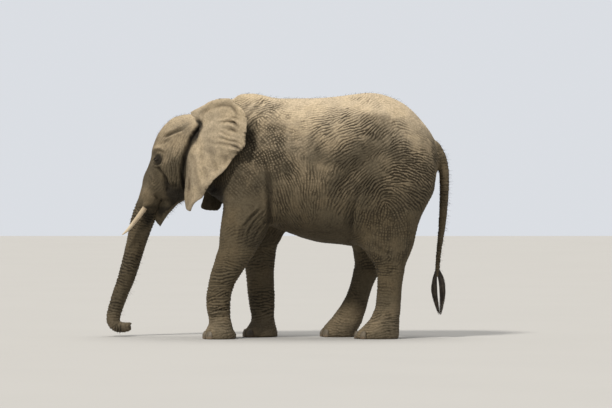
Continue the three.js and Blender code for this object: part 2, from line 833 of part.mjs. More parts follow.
function eyeSolid(left, grow) {
  const ball = new THREE.SphereGeometry(EYE.radius + grow, 9, 6);
  const place = fromHead(EYE.forward, left * EYE.left, EYE.z);
  ball.translate(place.x, place.y, place.z);
  return solidFrom(ball);
}

function jawSolid(grow) {
  const field = (x, y, z) => {
    const { forward, left } = toHead(x, y);
    return jawField(forward, Math.abs(left), z) - grow;
  };
  return skinOver(field, JAW_BOX, JAW_CELL);
}

const jaw = jawSolid(0);
add('lower_jaw', jaw, hide());

// ---------------------------------------------------------------- trunk and tail

const trunkPath = pathThrough(TRUNK.map(([x, y, z]) => new THREE.Vector3(x, y, z)));
const trunkRadius = radiiAlong(TRUNK.map((row) => row[3]));
const trunkShares = [...TRUNK_CUTS.map((height) => shareAtHeight(trunkPath, height)), 1];

const trunkLengths = [
  { name: 'trunk_upper', rings: 5 },
  { name: 'trunk_middle', rings: 5 },
  { name: 'trunk_lower', rings: 4 },
  { name: 'trunk_tip', rings: 7 },
];
trunkLengths.forEach(({ name, rings }, i) => {
  const solid = sweepAlong(trunkPath, trunkRadius, {
    start: trunkShares[i] + TRUNK_GAP,
    end: trunkShares[i + 1],
    width: TRUNK_WIDTH,
    sideways: HEAD_SIDEWAYS,
    segments: 14,
    rings,
  });
  add(name, solid, hide());
});

const tailPath = pathThrough(TAIL.map(([x, z]) => new THREE.Vector3(x, 0, z)));
const tailRadius = radiiAlong(TAIL.map((row) => row[2]));

const tailDown = shareAtHeight(tailPath, TAIL_MIDDLE);

function tailSolid(start, end, grow) {
  return sweepAlong(tailPath, (t) => tailRadius(t) + grow, {
    start,
    end,
    width: 1,
    sideways: new THREE.Vector3(0, 1, 0),
    segments: 10,
    rings: 7,
  });
}

// ---------------------------------------------------------------- head, neck and torso

const trunkStart = trunkPath.getPoint(trunkShares[0]);
const trunkHeading = trunkPath.getTangent(trunkShares[0]);
const belowLip = beyond(trunkStart, trunkHeading).intersect(
  beyond(new THREE.Vector3(0, 0, TRUNK_CUTS[0] + CHIN_ROOM), UP.clone().negate()),
);

let head = skinOver(fleshField, HEAD_BOX, HEAD_CELL);
head = head.intersect(headCut.ahead).subtract(belowLip).subtract(jawSolid(GAP));
let neck = skinOver(fleshField, NECK_BOX, NECK_CELL);
neck = neck.intersect(shoulderCut.ahead).intersect(headCut.behind);

for (const [side, left, flare, name] of [
  [-1, 1, EAR_LEFT_FLARE, 'left'],
  [1, -1, EAR_RIGHT_FLARE, 'right'],
]) {
  const earRoom = earSolid(side, flare, GAP);
  head = head.subtract(earRoom).subtract(tuskSolid(left, GAP)).subtract(eyeSolid(left, GAP));
  neck = neck.subtract(earRoom);
  add(`ear_${name}`, earSolid(side, flare, 0), hide());
  add(`tusk_${name}`, tuskSolid(left, 0), ivory());
  add(`eye_${name}`, eyeSolid(left, 0), eyeDark());
}
add('head', head, hide());
add('neck', neck, hide());

let torso = skinOver(fleshField, TORSO_BOX, TORSO_CELL);
torso = torso.intersect(shoulderCut.behind).subtract(tailSolid(0, tailDown, GAP));
for (const name of Object.keys(legs)) {
  torso = torso.subtract(legBlock(name, 0, GAP));
}
add('torso', torso, hide());

// ---------------------------------------------------------------- legs, feet and toenails

function legSlice({ curve, side }, z) {
  const [front, back, middleY, halfWidth] = curve.evaluate(z);
  return { x: (front + back) / 2, y: side * middleY, depth: (back - front) / 2, halfWidth };
}

function footSolid(leg, grow) {
  const slice = (z) => {
    const { x, y, depth, halfWidth } = legSlice(leg, z);
    return { x, y, depth: depth + grow, halfWidth: halfWidth + grow };
  };
  return sweepDown(FOOT_HEIGHTS, slice, LEG_SEGMENTS, LEG_ROUNDNESS);
}

// A flattened ball on the foot's rim, at an angle from straight ahead.
function nailSolid(leg, nail, angle) {
  const { x, y, depth, halfWidth } = legSlice(leg, NAIL_BASE);
  const [cos, sin] = [Math.cos(angle), Math.sin(angle)];
  const shares = [Math.abs(cos / depth), Math.abs(sin / halfWidth)];
  const reach = (shares[0] ** LEG_ROUNDNESS + shares[1] ** LEG_ROUNDNESS) ** (-1 / LEG_ROUNDNESS);
  const ball = new THREE.SphereGeometry(1, 7, 4);
  ball.scale(nail.depth, nail.width, nail.height);
  ball.rotateY(NAIL_LEAN);
  ball.rotateZ(-angle);
  const sunk = reach - nail.depth * NAIL_SUNK;
  ball.translate(x - sunk * cos, y + sunk * sin, NAIL_BASE);
  return solidFrom(ball);
}

for (const [name, leg] of Object.entries(legs)) {
  const [kind, hand] = name.split('_');
  const [frontX, backX] = UPPER_LEG_SPAN[kind];
  const outerY = leg.side * LEG_ROOM.outer;
  const innerY = -leg.side * LEG_ROOM.inner;
  const box = boxOf(
    frontX - LEG_ROOM.sides,
    Math.min(innerY, outerY),
    leg.joint - LEG_ROOM.below,
    backX + LEG_ROOM.sides,
    Math.max(innerY, outerY),
    LEG_ROOM.topZ,
  );
  const upper = skinOver(fleshField, box, UPPER_LEG_CELL);
  const block = legBlock(name, leg.joint + GAP, 0);
  add(`${name}_upper`, upper.intersect(block).intersect(shoulderCut.behind), hide());

  const heights = [];
  const lengths = Math.round((leg.joint - ANKLE) / LOWER_LEG_RING);
  for (let i = 0; i <= lengths; i += 1) {
    heights.push(THREE.MathUtils.lerp(leg.joint, ANKLE + GAP, i / lengths));
  }
  const slice = (z) => legSlice(leg, z);
  add(`${name}_lower`, sweepDown(heights, slice, LEG_SEGMENTS, LEG_ROUNDNESS), hide());

  add(`${kind}_${hand}_foot`, footSolid(leg, 0), hide());
  const nail = kind === 'foreleg' ? FORE_NAILS : HIND_NAILS;
  for (let i = 0; i < nail.count; i += 1) {
    const angle = THREE.MathUtils.degToRad((i - (nail.count - 1) / 2) * nail.spread);
    const plate = nailSolid(leg, nail, angle).subtract(footSolid(leg, GAP));
    add(`${kind}_${hand}_nail_${i + 1}`, plate, nailHorn());
  }
}

// ---------------------------------------------------------------- tail

add('tail_upper', tailSolid(GAP / TAIL_LENGTH, tailDown, 0), hide());
add('tail_lower', tailSolid(tailDown + GAP / TAIL_LENGTH, 1, 0), hide());

const tuftCurve = curveThrough([...TUFT].reverse().map(([x, z, ...radii]) => [z, x, ...radii]));
const tuft = sweepDown(
  TUFT.map((row) => row[1]),
  (z) => {
    const [x, depth, halfWidth] = tuftCurve.evaluate(z);
    return { x, y: 0, depth, halfWidth };
  },
  10,
  2,
);
add('tail_tuft', tuft, tuftHair());

// ---------------------------------------------------------------- origin

// The origin is at the middle of the bounding box's base.
const bounds = new THREE.Box3().setFromObject(elephant);
const middle = bounds.getCenter(new THREE.Vector3());
elephant.position.set(-middle.x, -middle.y, -bounds.min.z);

export default elephant;
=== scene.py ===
"""Life-size African elephant: hide, eyes, ivory, nails and hair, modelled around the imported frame.

Points in the tables are millimetres in the body's own plan: x back from the shoulders, y to her
right, z up. `Plan` turns them into metres of the frame.
"""

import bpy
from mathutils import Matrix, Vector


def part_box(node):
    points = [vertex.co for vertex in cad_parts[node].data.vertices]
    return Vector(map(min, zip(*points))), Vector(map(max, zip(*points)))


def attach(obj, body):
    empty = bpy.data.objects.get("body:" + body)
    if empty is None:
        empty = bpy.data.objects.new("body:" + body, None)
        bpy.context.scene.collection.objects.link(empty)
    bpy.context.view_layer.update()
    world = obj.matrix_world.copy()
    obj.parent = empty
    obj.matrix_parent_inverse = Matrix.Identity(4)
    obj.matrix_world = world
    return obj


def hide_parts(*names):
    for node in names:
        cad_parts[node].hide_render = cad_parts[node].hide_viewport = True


bl_info = {
    "name": "Standing Elephant",
    "version": (1, 0, 0),
    "blender": (4, 5, 0),
    "location": "View3D > Sidebar > Elephant",
    "description": "Hide, eyes, ivory, nails and hair of a life-size elephant, modelled on its solids",
    "category": "Add Mesh",
}

import contextlib
import functools
import math

import bpy
import numpy as np
from bpy.props import FloatProperty, FloatVectorProperty, IntProperty, PointerProperty
from mathutils import Matrix, Vector

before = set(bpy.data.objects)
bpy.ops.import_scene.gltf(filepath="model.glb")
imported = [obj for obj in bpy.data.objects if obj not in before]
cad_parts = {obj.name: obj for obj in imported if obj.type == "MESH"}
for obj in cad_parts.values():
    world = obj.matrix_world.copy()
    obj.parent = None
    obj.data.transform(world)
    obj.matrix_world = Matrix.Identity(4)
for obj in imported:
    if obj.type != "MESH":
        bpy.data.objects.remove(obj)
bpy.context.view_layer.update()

FLESH = [
    name
    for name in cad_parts
    if "nail" not in name and name not in ("tail_tuft", "tusk_left", "tusk_right", "eye_left", "eye_right")
]

# ------------------------------------------------------------------ the body's plan

HEAD_X, HEAD_Y = -1060.0, 150.0
HEAD_YAW = math.radians(22)
EYE = {"forward": 62.0, "left": 238.0, "z": 1790.0, "radius": 24.0}

# Trunk, along its middle line: x, y, z, radius.
TRUNK = [
    (-1224, 217, 1560, 129),
    (-1310, 250, 1330, 121),
    (-1384, 278, 1130, 110),
    (-1430, 294, 960, 93),
    (-1482, 312, 770, 87),
    (-1540, 332, 580, 80),
    (-1608, 348, 400, 71),
    (-1658, 358, 250, 67),
    (-1670, 356, 160, 62),
    (-1636, 350, 104, 55),
    (-1566, 342, 90, 47),
    (-1500, 336, 102, 38),
]

# Tail, along its middle line: x, z, radius.
TAIL = [
    (1578, 1893, 56),
    (1626, 1800, 54),
    (1652, 1715, 48),
    (1663, 1620, 44),
    (1663, 1480, 42),
    (1654, 1290, 37),
    (1636, 1080, 29),
    (1610, 880, 22),
    (1596, 720, 19),
    (1593, 615, 19),
]

# Legs: the side, and the middle line upwards as height, x and distance out from the midline.
LEGS = {
    "foreleg_left": (-1, [
        (0, -578, 255), (210, -584, 252), (470, -586, 250),
        (674, -507, 252), (900, -398, 258), (1250, -340, 262),
    ]),
    "foreleg_right": (1, [
        (0, -182, 250), (165, -155, 250), (400, -170, 250),
        (660, -187, 252), (905, -199, 258), (1250, -300, 262),
    ]),
    "hindleg_left": (-1, [
        (0, 988, 235), (170, 1050, 238), (345, 1097, 241),
        (650, 1120, 247), (930, 1088, 252), (1250, 1095, 248),
    ]),
    "hindleg_right": (1, [
        (0, 604, 235), (155, 674, 238), (340, 773, 241),
        (590, 864, 246), (870, 966, 251), (1250, 1088, 248),
    ]),
}

# A tusk from its root inside the sheath: forward, left, z, radius.
TUSK = [
    (150, 146, 1424, 28),
    (165, 150, 1400, 28.5),
    (213, 166, 1325, 27.5),
    (300, 186, 1205, 24.5),
    (385, 203, 1098, 17.5),
    (430, 210.5, 1053, 11.5),
    (455, 213.5, 1034, 7),
    (464, 214.8, 1027.5, 3.2),
]
# The sleeve of flesh round a tusk's root: forward, left, z of its end, and its radii in metres.
SHEATH_END = (231, 170, 1300)
SHEATH_ROOT_RADIUS, SHEATH_END_RADIUS = 0.062, 0.040

# Ears: outline in its own plane, as distance back from the root and height.
EAR_OUTLINE = [
    (17, 2258), (106, 2300), (206, 2348), (306, 2386), (406, 2404), (517, 2388), (594, 2290),
    (636, 2140), (606, 1970), (483, 1822), (383, 1682), (272, 1600), (161, 1480), (83, 1370),
    (-22, 1262), (-70, 1340), (-64, 1500), (-39, 1710), (-6, 1880), (50, 2020), (100, 2140),
]
EAR_ROOT = {"forward": -290.0, "left": 250.0}
EAR_FLARE = {-1: math.radians(26), 1: math.radians(20)}
EAR_BULGE = 48.0
EAR_DEPTH = 640.0
# The ear's veins and billows spread from a point this far before its root, at this height.
EAR_HUB_BACK, EAR_HUB_Z = 60, 1985


def head_point(forward, left, z):
    """A point given in the head's frame, in the body's plan."""
    cos, sin = math.cos(HEAD_YAW), math.sin(HEAD_YAW)
    return np.array((HEAD_X - forward * cos - left * sin, HEAD_Y + forward * sin - left * cos, z))


class Plan:
    """Millimetres of the body's plan to metres of the frame, and back."""

    low, high = (np.array(corner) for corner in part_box("eye_left"))
    shift = (low + high) / 2 - head_point(EYE["forward"], EYE["left"], EYE["z"]) / 1000

    @classmethod
    def metres(cls, points):
        return np.asarray(points, float) / 1000 + cls.shift

    @classmethod
    def millimetres(cls, points):
        return (points - cls.shift) * 1000


# ------------------------------------------------------------------ curves, masks and noise


def smoothstep(low, high, value):
    share = np.clip((value - low) / (high - low), 0, 1)
    return share * share * (3 - 2 * share)


def gauss(value):
    return np.exp(-(value**2))


def hill(x, z, centre_x, centre_z, reach_x, reach_z):
    """A smooth round hill, one at its centre and falling away over its reach."""
    return np.exp(-(((x - centre_x) / reach_x) ** 2) - ((z - centre_z) / reach_z) ** 2)


def highest(*values):
    return functools.reduce(np.maximum, values)


def curve_through(points, per_span, closed=False):
    """Points along a smooth curve through the given ones."""
    points = np.asarray(points, float)
    count = len(points)
    spans = count if closed else count - 1
    drawn = []
    for i in range(spans):
        if closed:
            before, start, end, after = (points[(i + k) % count] for k in (-1, 0, 1, 2))
        else:
            start, end = points[i], points[i + 1]
            before = points[i - 1] if i else 2 * start - end
            after = points[i + 2] if i + 2 < count else 2 * end - start
        for step in range(per_span):
            t = step / per_span
            drawn.append(
                0.5
                * (
                    2 * start
                    + (end - before) * t
                    + (2 * before - 5 * start + 4 * end - after) * t**2
                    + (3 * start - before - 3 * end + after) * t**3
                )
            )
    if not closed:
        drawn.append(points[-1])
    return np.array(drawn)


def nearest_on_path(points, path):
    """For each point: its distance to a path, and the length along the path to its nearest place."""
    steps = np.diff(path, axis=0)
    lengths = np.linalg.norm(steps, axis=1)
    reached = np.concatenate(([0], np.cumsum(lengths)))
    best = np.full(len(points), np.inf)
    where = np.zeros(len(points))
    for start, step, length, base in zip(path, steps, lengths, reached):
        share = np.clip((points - start) @ step / length**2, 0, 1)
        away = np.linalg.norm(points - start - share[:, None] * step, axis=1)
        nearer = away < best
        best[nearer] = away[nearer]
        where[nearer] = base + share[nearer] * length
    return best, where


def lattice_value(cells, seed):
    """A repeatable number from -1 to 1 for each whole-number cell."""
    mixed = cells[:, 0] * 374761393 + cells[:, 1] * 668265263 + cells[:, 2] * 2147483647 + seed * 974634777
    mixed = (mixed ^ (mixed >> 13)) * 1274126177
    mixed = (mixed ^ (mixed >> 16)) & 0xFFFFFF
    return mixed / float(0x7FFFFF) - 1


def noise(points, size, seed):
    """Smooth noise from -1 to 1, with bumps about the given size."""
    scaled = points / size
    cell = np.floor(scaled).astype(np.int64)
    part = scaled - cell
    part = part * part * (3 - 2 * part)
    total = np.zeros(len(points))
    for corner in range(8):
        step = np.array((corner & 1, corner >> 1 & 1, corner >> 2))
        weight = np.prod(np.where(step, part, 1 - part), axis=1)
        total += weight * lattice_value(cell + step, seed)
    return total


# ------------------------------------------------------------------ meshes as arrays

# Corners nearer than this, in metres, are one corner.
SAME_PLACE = 1e-5


def read(items, field, width, kind=np.float64):
    values = np.empty(len(items) * width, kind)
    items.foreach_get(field, values)
    return values.reshape(-1, width) if width > 1 else values


def points_of(mesh):
    """The mesh's points, in millimetres of the body's plan."""
    return Plan.millimetres(read(mesh.vertices, "co", 3))


def normals_of(mesh):
    return read(mesh.vertex_normals, "vector", 3)


def set_points(mesh, points):
    mesh.vertices.foreach_set("co", points.astype(np.float32).ravel())
    mesh.update()


def set_value(mesh, name, values):
    attribute = mesh.attributes.get(name) or mesh.attributes.new(name, "FLOAT", "POINT")
    attribute.data.foreach_set("value", values.astype(np.float32))


def select_only(*objects):
    bpy.ops.object.select_all(action="DESELECT")
    for piece in objects:
        piece.select_set(True)
    bpy.context.view_layer.objects.active = objects[-1]


@contextlib.contextmanager
def all_in_edit_mode():
    """Edit mode on the active piece, with all of it selected."""
    bpy.ops.object.mode_set(mode="EDIT")
    bpy.ops.mesh.select_all(action="SELECT")
    yield
    bpy.ops.object.mode_set(mode="OBJECT")


def edges_of(mesh):
    return read(mesh.edges, "vertices", 2, np.int32)


def neighbour_mean(edges, values):
    """The mean of each vertex's neighbours, for a column of values or several."""
    count = len(values)
    degree = np.bincount(edges.ravel(), minlength=count)
    columns = values.reshape(count, -1)
    means = np.empty_like(columns)
    for axis in range(columns.shape[1]):
        column = columns[:, axis]
        total = np.bincount(edges[:, 0], column[edges[:, 1]], count)
        total += np.bincount(edges[:, 1], column[edges[:, 0]], count)
        means[:, axis] = total / degree
    return means.reshape(values.shape)


def relaxed(edges, values, passes, share=0.5):
    """Smooths values over a mesh; share may differ from vertex to vertex."""
    share = np.asarray(share)
    if share.ndim and values.ndim > 1:
        share = share[:, None]
    for _ in range(passes):
        values = values + share * (neighbour_mean(edges, values) - values)
    return values


# ------------------------------------------------------------------ wrinkles

# How the wrinkles run over her side: x, z, angle of the lines from level (a rising line is
# positive towards the tail), depth, and how strongly a second set crosses the first.
WRINKLES = [
    # neck and shoulder
    (-280, 2330, 38, 4.0, 0.2), (-160, 2380, 30, 3.0, 0.2), (-350, 2180, 50, 3.0, 0.3),
    (-130, 2130, -50, 4.0, 0.9), (-30, 1930, -52, 4.0, 0.9), (-200, 1880, -58, 4.0, 0.8),
    (70, 2180, -42, 3.5, 0.9), (70, 1780, -60, 4.0, 0.6), (-130, 1630, -60, 3.5, 0.8),
    (-280, 1580, -50, 3.0, 0.8), (-600, 2200, 60, 4.0, 0.3), (-600, 1800, 80, 4.0, 0.3),
    # foreleg
    (-300, 1400, -45, 2.5, 0.8), (-330, 1250, 30, 3.0, 0.3), (-160, 1230, 62, 3.0, 0.2),
    (-430, 1130, 20, 2.5, 0.3), (-480, 880, 0, 2.5, 0.2), (-560, 630, 0, 3.5, 0.1),
    (-600, 380, 0, 6.0, 0.0), (-630, 200, 0, 5.0, 0.0), (-160, 680, 0, 3.0, 0.2),
    (-200, 280, 0, 4.0, 0.1), (-600, 60, 20, 2.0, 0.6), (-180, 60, 20, 2.0, 0.6),
    # ribs
    (220, 2280, 15, 2.0, 0.3), (520, 2330, 12, 1.8, 0.3), (220, 2080, 25, 3.0, 0.4),
    (220, 1880, 30, 2.5, 0.6), (420, 2130, 28, 3.5, 0.2), (470, 1880, 25, 3.0, 0.4),
    (670, 2130, 32, 4.0, 0.15), (670, 1930, 32, 4.0, 0.15), (870, 2230, 35, 3.0, 0.15),
    (870, 2030, 40, 4.5, 0.1), (820, 1830, 42, 4.5, 0.1), (720, 1630, 52, 4.5, 0.15),
    (570, 1480, 62, 4.0, 0.2), (420, 1580, 80, 2.5, 0.5), (270, 1680, -70, 3.0, 0.4),
    (140, 1580, -70, 4.0, 0.3), (70, 1380, -75, 4.0, 0.2), (200, 1330, -72, 4.0, 0.2),
    (320, 1380, 88, 3.0, 0.3), (470, 1280, 75, 4.0, 0.2), (620, 1330, 66, 4.5, 0.2),
    (720, 1230, 70, 4.0, 0.2), (820, 1380, 60, 4.0, 0.2), (420, 1030, 5, 2.0, 0.3),
    (670, 1000, 0, 2.0, 0.3),
    # hip, rump and thigh
    (1020, 2230, 30, 1.5, 0.3), (1170, 2280, -30, 2.0, 0.4), (1070, 2030, 48, 4.0, 0.2),
    (1000, 1830, 45, 5.0, 0.1), (920, 1630, 45, 5.0, 0.2), (1170, 1980, 50, 3.0, 0.4),
    (1270, 2130, -40, 2.0, 0.4), (1320, 1930, -20, 3.0, 0.4), (1170, 1780, 5, 5.0, 0.15),
    (1320, 1730, -15, 5.0, 0.1), (1470, 1780, -30, 5.0, 0.1), (1070, 1580, 10, 5.5, 0.15),
    (1270, 1530, -20, 5.5, 0.15), (1440, 1530, -30, 5.0, 0.15), (970, 1430, 60, 5.0, 0.2),
    (1120, 1380, -25, 5.0, 0.3), (1320, 1330, -35, 4.5, 0.4), (870, 1230, 75, 4.0, 0.5),
    (1070, 1180, 85, 3.5, 0.8), (1270, 1130, -70, 3.5, 0.8), (1070, 930, 85, 3.5, 0.8),
    (1220, 880, -80, 3.5, 0.7), (1070, 700, 10, 4.0, 0.5), (1120, 430, 0, 2.5, 0.5),
    (1150, 180, 0, 3.0, 0.2), (720, 380, 0, 2.5, 0.4), (1570, 1880, -35, 3.0, 0.2),
    # head
    (-1060, 1730, 88, 3.0, 0.2), (-1000, 1880, 85, 3.0, 0.2), (-1130, 1880, 75, 2.0, 0.3),
    (-980, 1530, 88, 3.0, 0.2), (-1060, 1430, 80, 2.5, 0.3), (-1130, 2080, 60, 1.5, 0.6),
    (-930, 2200, 10, 1.5, 0.6), (-1260, 1580, 25, 2.0, 0.5), (-1300, 1430, 30, 1.5, 0.5),
    (-1210, 1930, 20, 1.5, 0.4),
]
WRINKLE_REACH = 110.0
# Rounds of growth of the wrinkles, and how many near vertices each one heeds.
WRINKLE_TURNS = 14
RING_WIDTH = 28


def wrinkle_plan(points):
    """Angle, depth and crossing share of the wrinkles at each point, by its x and z."""
    table = np.array(WRINKLES)
    turn = np.radians(table[:, 2]) * 2
    sums = np.zeros((len(points), 5))
    for (x, z, _, depth, crossing), bend in zip(table, turn):
        gap = (points[:, 0] - x) ** 2 + (points[:, 2] - z) ** 2
        weight = np.exp(-gap / (2 * WRINKLE_REACH**2)) + 1e-9 / (1 + gap)
        for column, value in enumerate((math.cos(bend), math.sin(bend), depth, crossing, 1)):
            sums[:, column] += weight * value
    angle = np.arctan2(sums[:, 1], sums[:, 0]) / 2
    return angle, sums[:, 2] / sums[:, 4], sums[:, 3] / sums[:, 4]


def corner_neighbours(faces, count):
    """A table of each vertex's neighbours over edges and face diagonals, padded with itself."""
    first = faces[:, [0, 0, 0, 1, 1, 2]].ravel().astype(np.int64)
    second = faces[:, [1, 2, 3, 2, 3, 3]].ravel().astype(np.int64)
    pairs = np.unique(np.concatenate((first * count + second, second * count + first)))
    home, other = pairs // count, pairs % count
    slot = np.arange(len(pairs)) - np.searchsorted(home, home)
    width = 9
    table = np.repeat(np.arange(count)[:, None], width, axis=1)
    kept = slot < width
    table[home[kept], slot[kept]] = other[kept]
    return table


def ring_neighbours(faces, count):
    """Neighbours out to two faces away, padded with the vertex itself."""
    near = corner_neighbours(faces, count).astype(np.int32)
    wide = near[near].reshape(count, -1)
    wide.sort(axis=1)
    repeated = np.zeros_like(wide, bool)
    repeated[:, 1:] = wide[:, 1:] == wide[:, :-1]
    repeated |= wide == np.arange(count, dtype=np.int32)[:, None]
    wide[repeated] = count
    wide = np.sort(wide, axis=1)[:, :RING_WIDTH]
    return np.where(wide == count, np.arange(count, dtype=np.int32)[:, None], wide)


def grown_wrinkles(points, rings, lie, spacing, turns, seed):
    """Grows lines that follow `lie` over the surface: -1 in the furrows, 1 on the ridges."""
    offsets = points[rings] - points[:, None]
    along = np.einsum("ijk,ik->ij", offsets, lie)
    across2 = np.maximum(np.einsum("ijk,ijk->ij", offsets, offsets) - along**2, 0)
    width2 = (spacing / 4.44) ** 2
    envelope = np.exp(-(along**2) / (2 * 1.7**2 * width2) - across2 / (2 * width2))
    envelope[rings == np.arange(len(points))[:, None]] = 0
    kernel = envelope * (1 - across2 / width2)
    excess = (kernel.sum(1) + 1) / (envelope.sum(1) + 1)
    kernel -= envelope * excess[:, None]
    own = 1 - excess
    scale = 0.5 * (np.abs(kernel).sum(1) + np.abs(own))
    kernel = (kernel / scale[:, None]).astype(np.float32)
    own = (own / scale).astype(np.float32)
    value = lattice_value(np.floor(points * 0.7).astype(np.int64), seed).astype(np.float32)
    for _ in range(turns):
        value = np.tanh(3.2 * (np.einsum("ij,ij->i", kernel, value[rings]) + own * value))
    return value


def surface_frame(normals):
    """Level and upward directions in the surface, alike on both sides of the body."""
    level = np.stack((-normals[:, 1], normals[:, 0], np.zeros(len(normals))), axis=1)
    length = np.linalg.norm(level, axis=1)
    flat = length < 0.05
    level[flat] = (1, 0, 0)
    length[flat] = 1
    level /= length[:, None]
    level *= np.where(normals[:, 1] > 0, -1, 1)[:, None]
    upward = np.cross(normals, level)
    upward *= np.where(upward[:, 2] < 0, -1, 1)[:, None]
    return level, upward


# ------------------------------------------------------------------ regions of the body


def head_frame(points):
    """Forward, left and height in the head's frame."""
    cos, sin = math.cos(HEAD_YAW), math.sin(HEAD_YAW)
    dx, dy = points[:, 0] - HEAD_X, points[:, 1] - HEAD_Y
    return -dx * cos + dy * sin, -dx * sin - dy * cos, points[:, 2]


def ear_frame(points, side):
    """Distance back from the ear's root and out from its plane; side is -1 for the left ear."""
    root = head_point(EAR_ROOT["forward"], -side * EAR_ROOT["left"], 0)
    cos, sin = math.cos(EAR_FLARE[side]), math.sin(EAR_FLARE[side])
    dx, dy = points[:, 0] - root[0], side * (points[:, 1] - root[1])
    return dx * cos + dy * sin, -dx * sin + dy * cos


def ear_direction(side):
    """The way out from the ear's plane, in the body's plan."""
    cos, sin = math.cos(EAR_FLARE[side]), math.sin(EAR_FLARE[side])
    return np.array((-sin, side * cos, 0))


def ear_slope(side):
    """The way back along the ear's plane, in the body's plan."""
    return np.array((math.cos(EAR_FLARE[side]), side * math.sin(EAR_FLARE[side]), 0))


def within_outline(u, v, outline):
    """Distance inside a closed outline, negative outside it."""
    inside = np.zeros(len(u), bool)
    nearest = np.full(len(u), np.inf)
    for (u0, v0), (u1, v1) in zip(outline, np.roll(outline, -1, axis=0)):
        step_u, step_v = u1 - u0, v1 - v0
        share = ((u - u0) * step_u + (v - v0) * step_v) / (step_u**2 + step_v**2)
        share = np.clip(share, 0, 1)
        nearest = np.minimum(nearest, np.hypot(u - u0 - share * step_u, v - v0 - share * step_v))
        if v0 != v1:
            crossing = (v0 > v) != (v1 > v)
            inside ^= crossing & (u < u0 + (v - v0) * step_u / step_v)
    return np.where(inside, nearest, -nearest)


EAR_EDGE = curve_through(EAR_OUTLINE, 6, closed=True)
TRUNK_PATH = curve_through([row[:3] for row in TRUNK], 8)
TAIL_PATH = curve_through([(x, 0, z) for x, z, _ in TAIL], 6)


def path_radius(path, rows, where):
    """Radius at a length along a path whose rows end with their radius."""
    lengths = np.concatenate(([0], np.cumsum(np.linalg.norm(np.diff(path, axis=0), axis=1))))
    per_span = (len(path) - 1) // (len(rows) - 1)
    return np.interp(where, lengths[::per_span], [row[-1] for row in rows])


def path_heading(path, where):
    lengths = np.concatenate(([0], np.cumsum(np.linalg.norm(np.diff(path, axis=0), axis=1))))
    slope = np.gradient(path, lengths, axis=0)
    heading = np.stack([np.interp(where, lengths, slope[:, axis]) for axis in range(3)], axis=1)
    return heading / np.linalg.norm(heading, axis=1)[:, None]


class Regions:
    """Which part of the body each point of the skin is on."""

    def __init__(self, points):
        self.points = points
        self.forward, self.left, z = head_frame(points)
        count = len(points)
        self.trunk = np.zeros(count)
        self.trunk_length = np.zeros(count)
        near = np.flatnonzero((points[:, 0] < -1130) & (z < 1600))
        away, where = nearest_on_path(points[near], TRUNK_PATH)
        radius = path_radius(TRUNK_PATH, TRUNK, where)
        self.trunk_length[near] = where
        self.trunk[near] = smoothstep(1.5, 1.15, away / radius) * smoothstep(200, 330, where)
        self.tail = np.zeros(count)
        self.tail_length = np.zeros(count)
        near = np.flatnonzero((points[:, 0] > 1540) & (np.abs(points[:, 1]) < 120))
        away, where = nearest_on_path(points[near], TAIL_PATH)
        radius = path_radius(TAIL_PATH, TAIL, where)
        self.tail_length[near] = where
        self.tail[near] = smoothstep(1.7, 1.25, away / radius)
        self.legs = np.zeros(count)
        for side, rows in LEGS.values():
            rows = np.array(rows, float)
            away = np.hypot(
                points[:, 0] - np.interp(z, rows[:, 0], rows[:, 1]),
                points[:, 1] - side * np.interp(z, rows[:, 0], rows[:, 2]),
            )
            self.legs = np.maximum(self.legs, smoothstep(330, 260, away) * smoothstep(1150, 950, z))
        self.ears = {}
        for side in (-1, 1):
            back, out = ear_frame(points, side)
            near = np.flatnonzero((back > -110) & (back < 700) & (out > -420) & (out < 170) & (z > 1200))
            depth = np.full(count, -200.0)
            depth[near] = within_outline(back[near], z[near], EAR_EDGE)
            middle = EAR_BULGE * np.sin(np.pi * np.clip(back / EAR_DEPTH, 0, 1))
            blade = smoothstep(-24, -8, depth) * smoothstep(62, 46, np.abs(out - middle))
            blade *= smoothstep(-40, 60, back + np.clip((1900 - z) * 0.2, 0, 80))
            self.ears[side] = {"back": back, "out": out - middle, "depth": depth, "mask": blade}
        self.ear = np.maximum(self.ears[-1]["mask"], self.ears[1]["mask"])
        self.head = smoothstep(-420, -300, self.forward) * (1 - self.ear) * (1 - self.trunk)
        self.head *= smoothstep(1040, 1090, z)
        # Painted shade in hollows and creases, filled in by the folds of the body, head and ears.
        self.hollow = np.zeros(count)


# ------------------------------------------------------------------ folds and hollows

# Grooves of the head, alike on both sides: points (forward, z), width, depth, share of lip.
HEAD_GROOVES = [
    ([(118, 1850), (66, 1872), (8, 1862), (-30, 1835)], 11, 7, 0.9),
    ([(30, 2008), (-40, 2026), (-94, 2050), (-150, 2072), (-215, 2092)], 16, 17, 0.4),
    ([(60, 1940), (0, 1950), (-70, 1990), (-130, 2030)], 13, 5, 0.4),
    ([(118, 1752), (66, 1732), (6, 1748)], 8, 6, 0.5),
    ([(130, 1716), (62, 1694), (-16, 1716)], 9, 5, 0.5),
    ([(56, 1735), (40, 1690), (6, 1640), (-20, 1580), (-30, 1500)], 20, 20, 0.5),
    ([(-12, 1640), (-30, 1570), (-36, 1500), (-26, 1440)], 26, 34, 0.2),
    ([(-30, 1530), (-90, 1520), (-150, 1535)], 22, 14, 0.2),
    ([(-90, 1760), (-110, 1660), (-118, 1560)], 10, 7, 0.4),
    ([(-130, 1800), (-152, 1690), (-160, 1570)], 10, 8, 0.4),
    ([(-175, 1840), (-196, 1700), (-202, 1560)], 10, 8, 0.4),
    ([(-215, 1860), (-236, 1720), (-240, 1560)], 10, 7, 0.4),
    ([(20, 1372), (80, 1335), (150, 1318)], 17, 22, 0.5),
    ([(180, 1640), (120, 1560), (60, 1520)], 14, 5, 0.4),
]

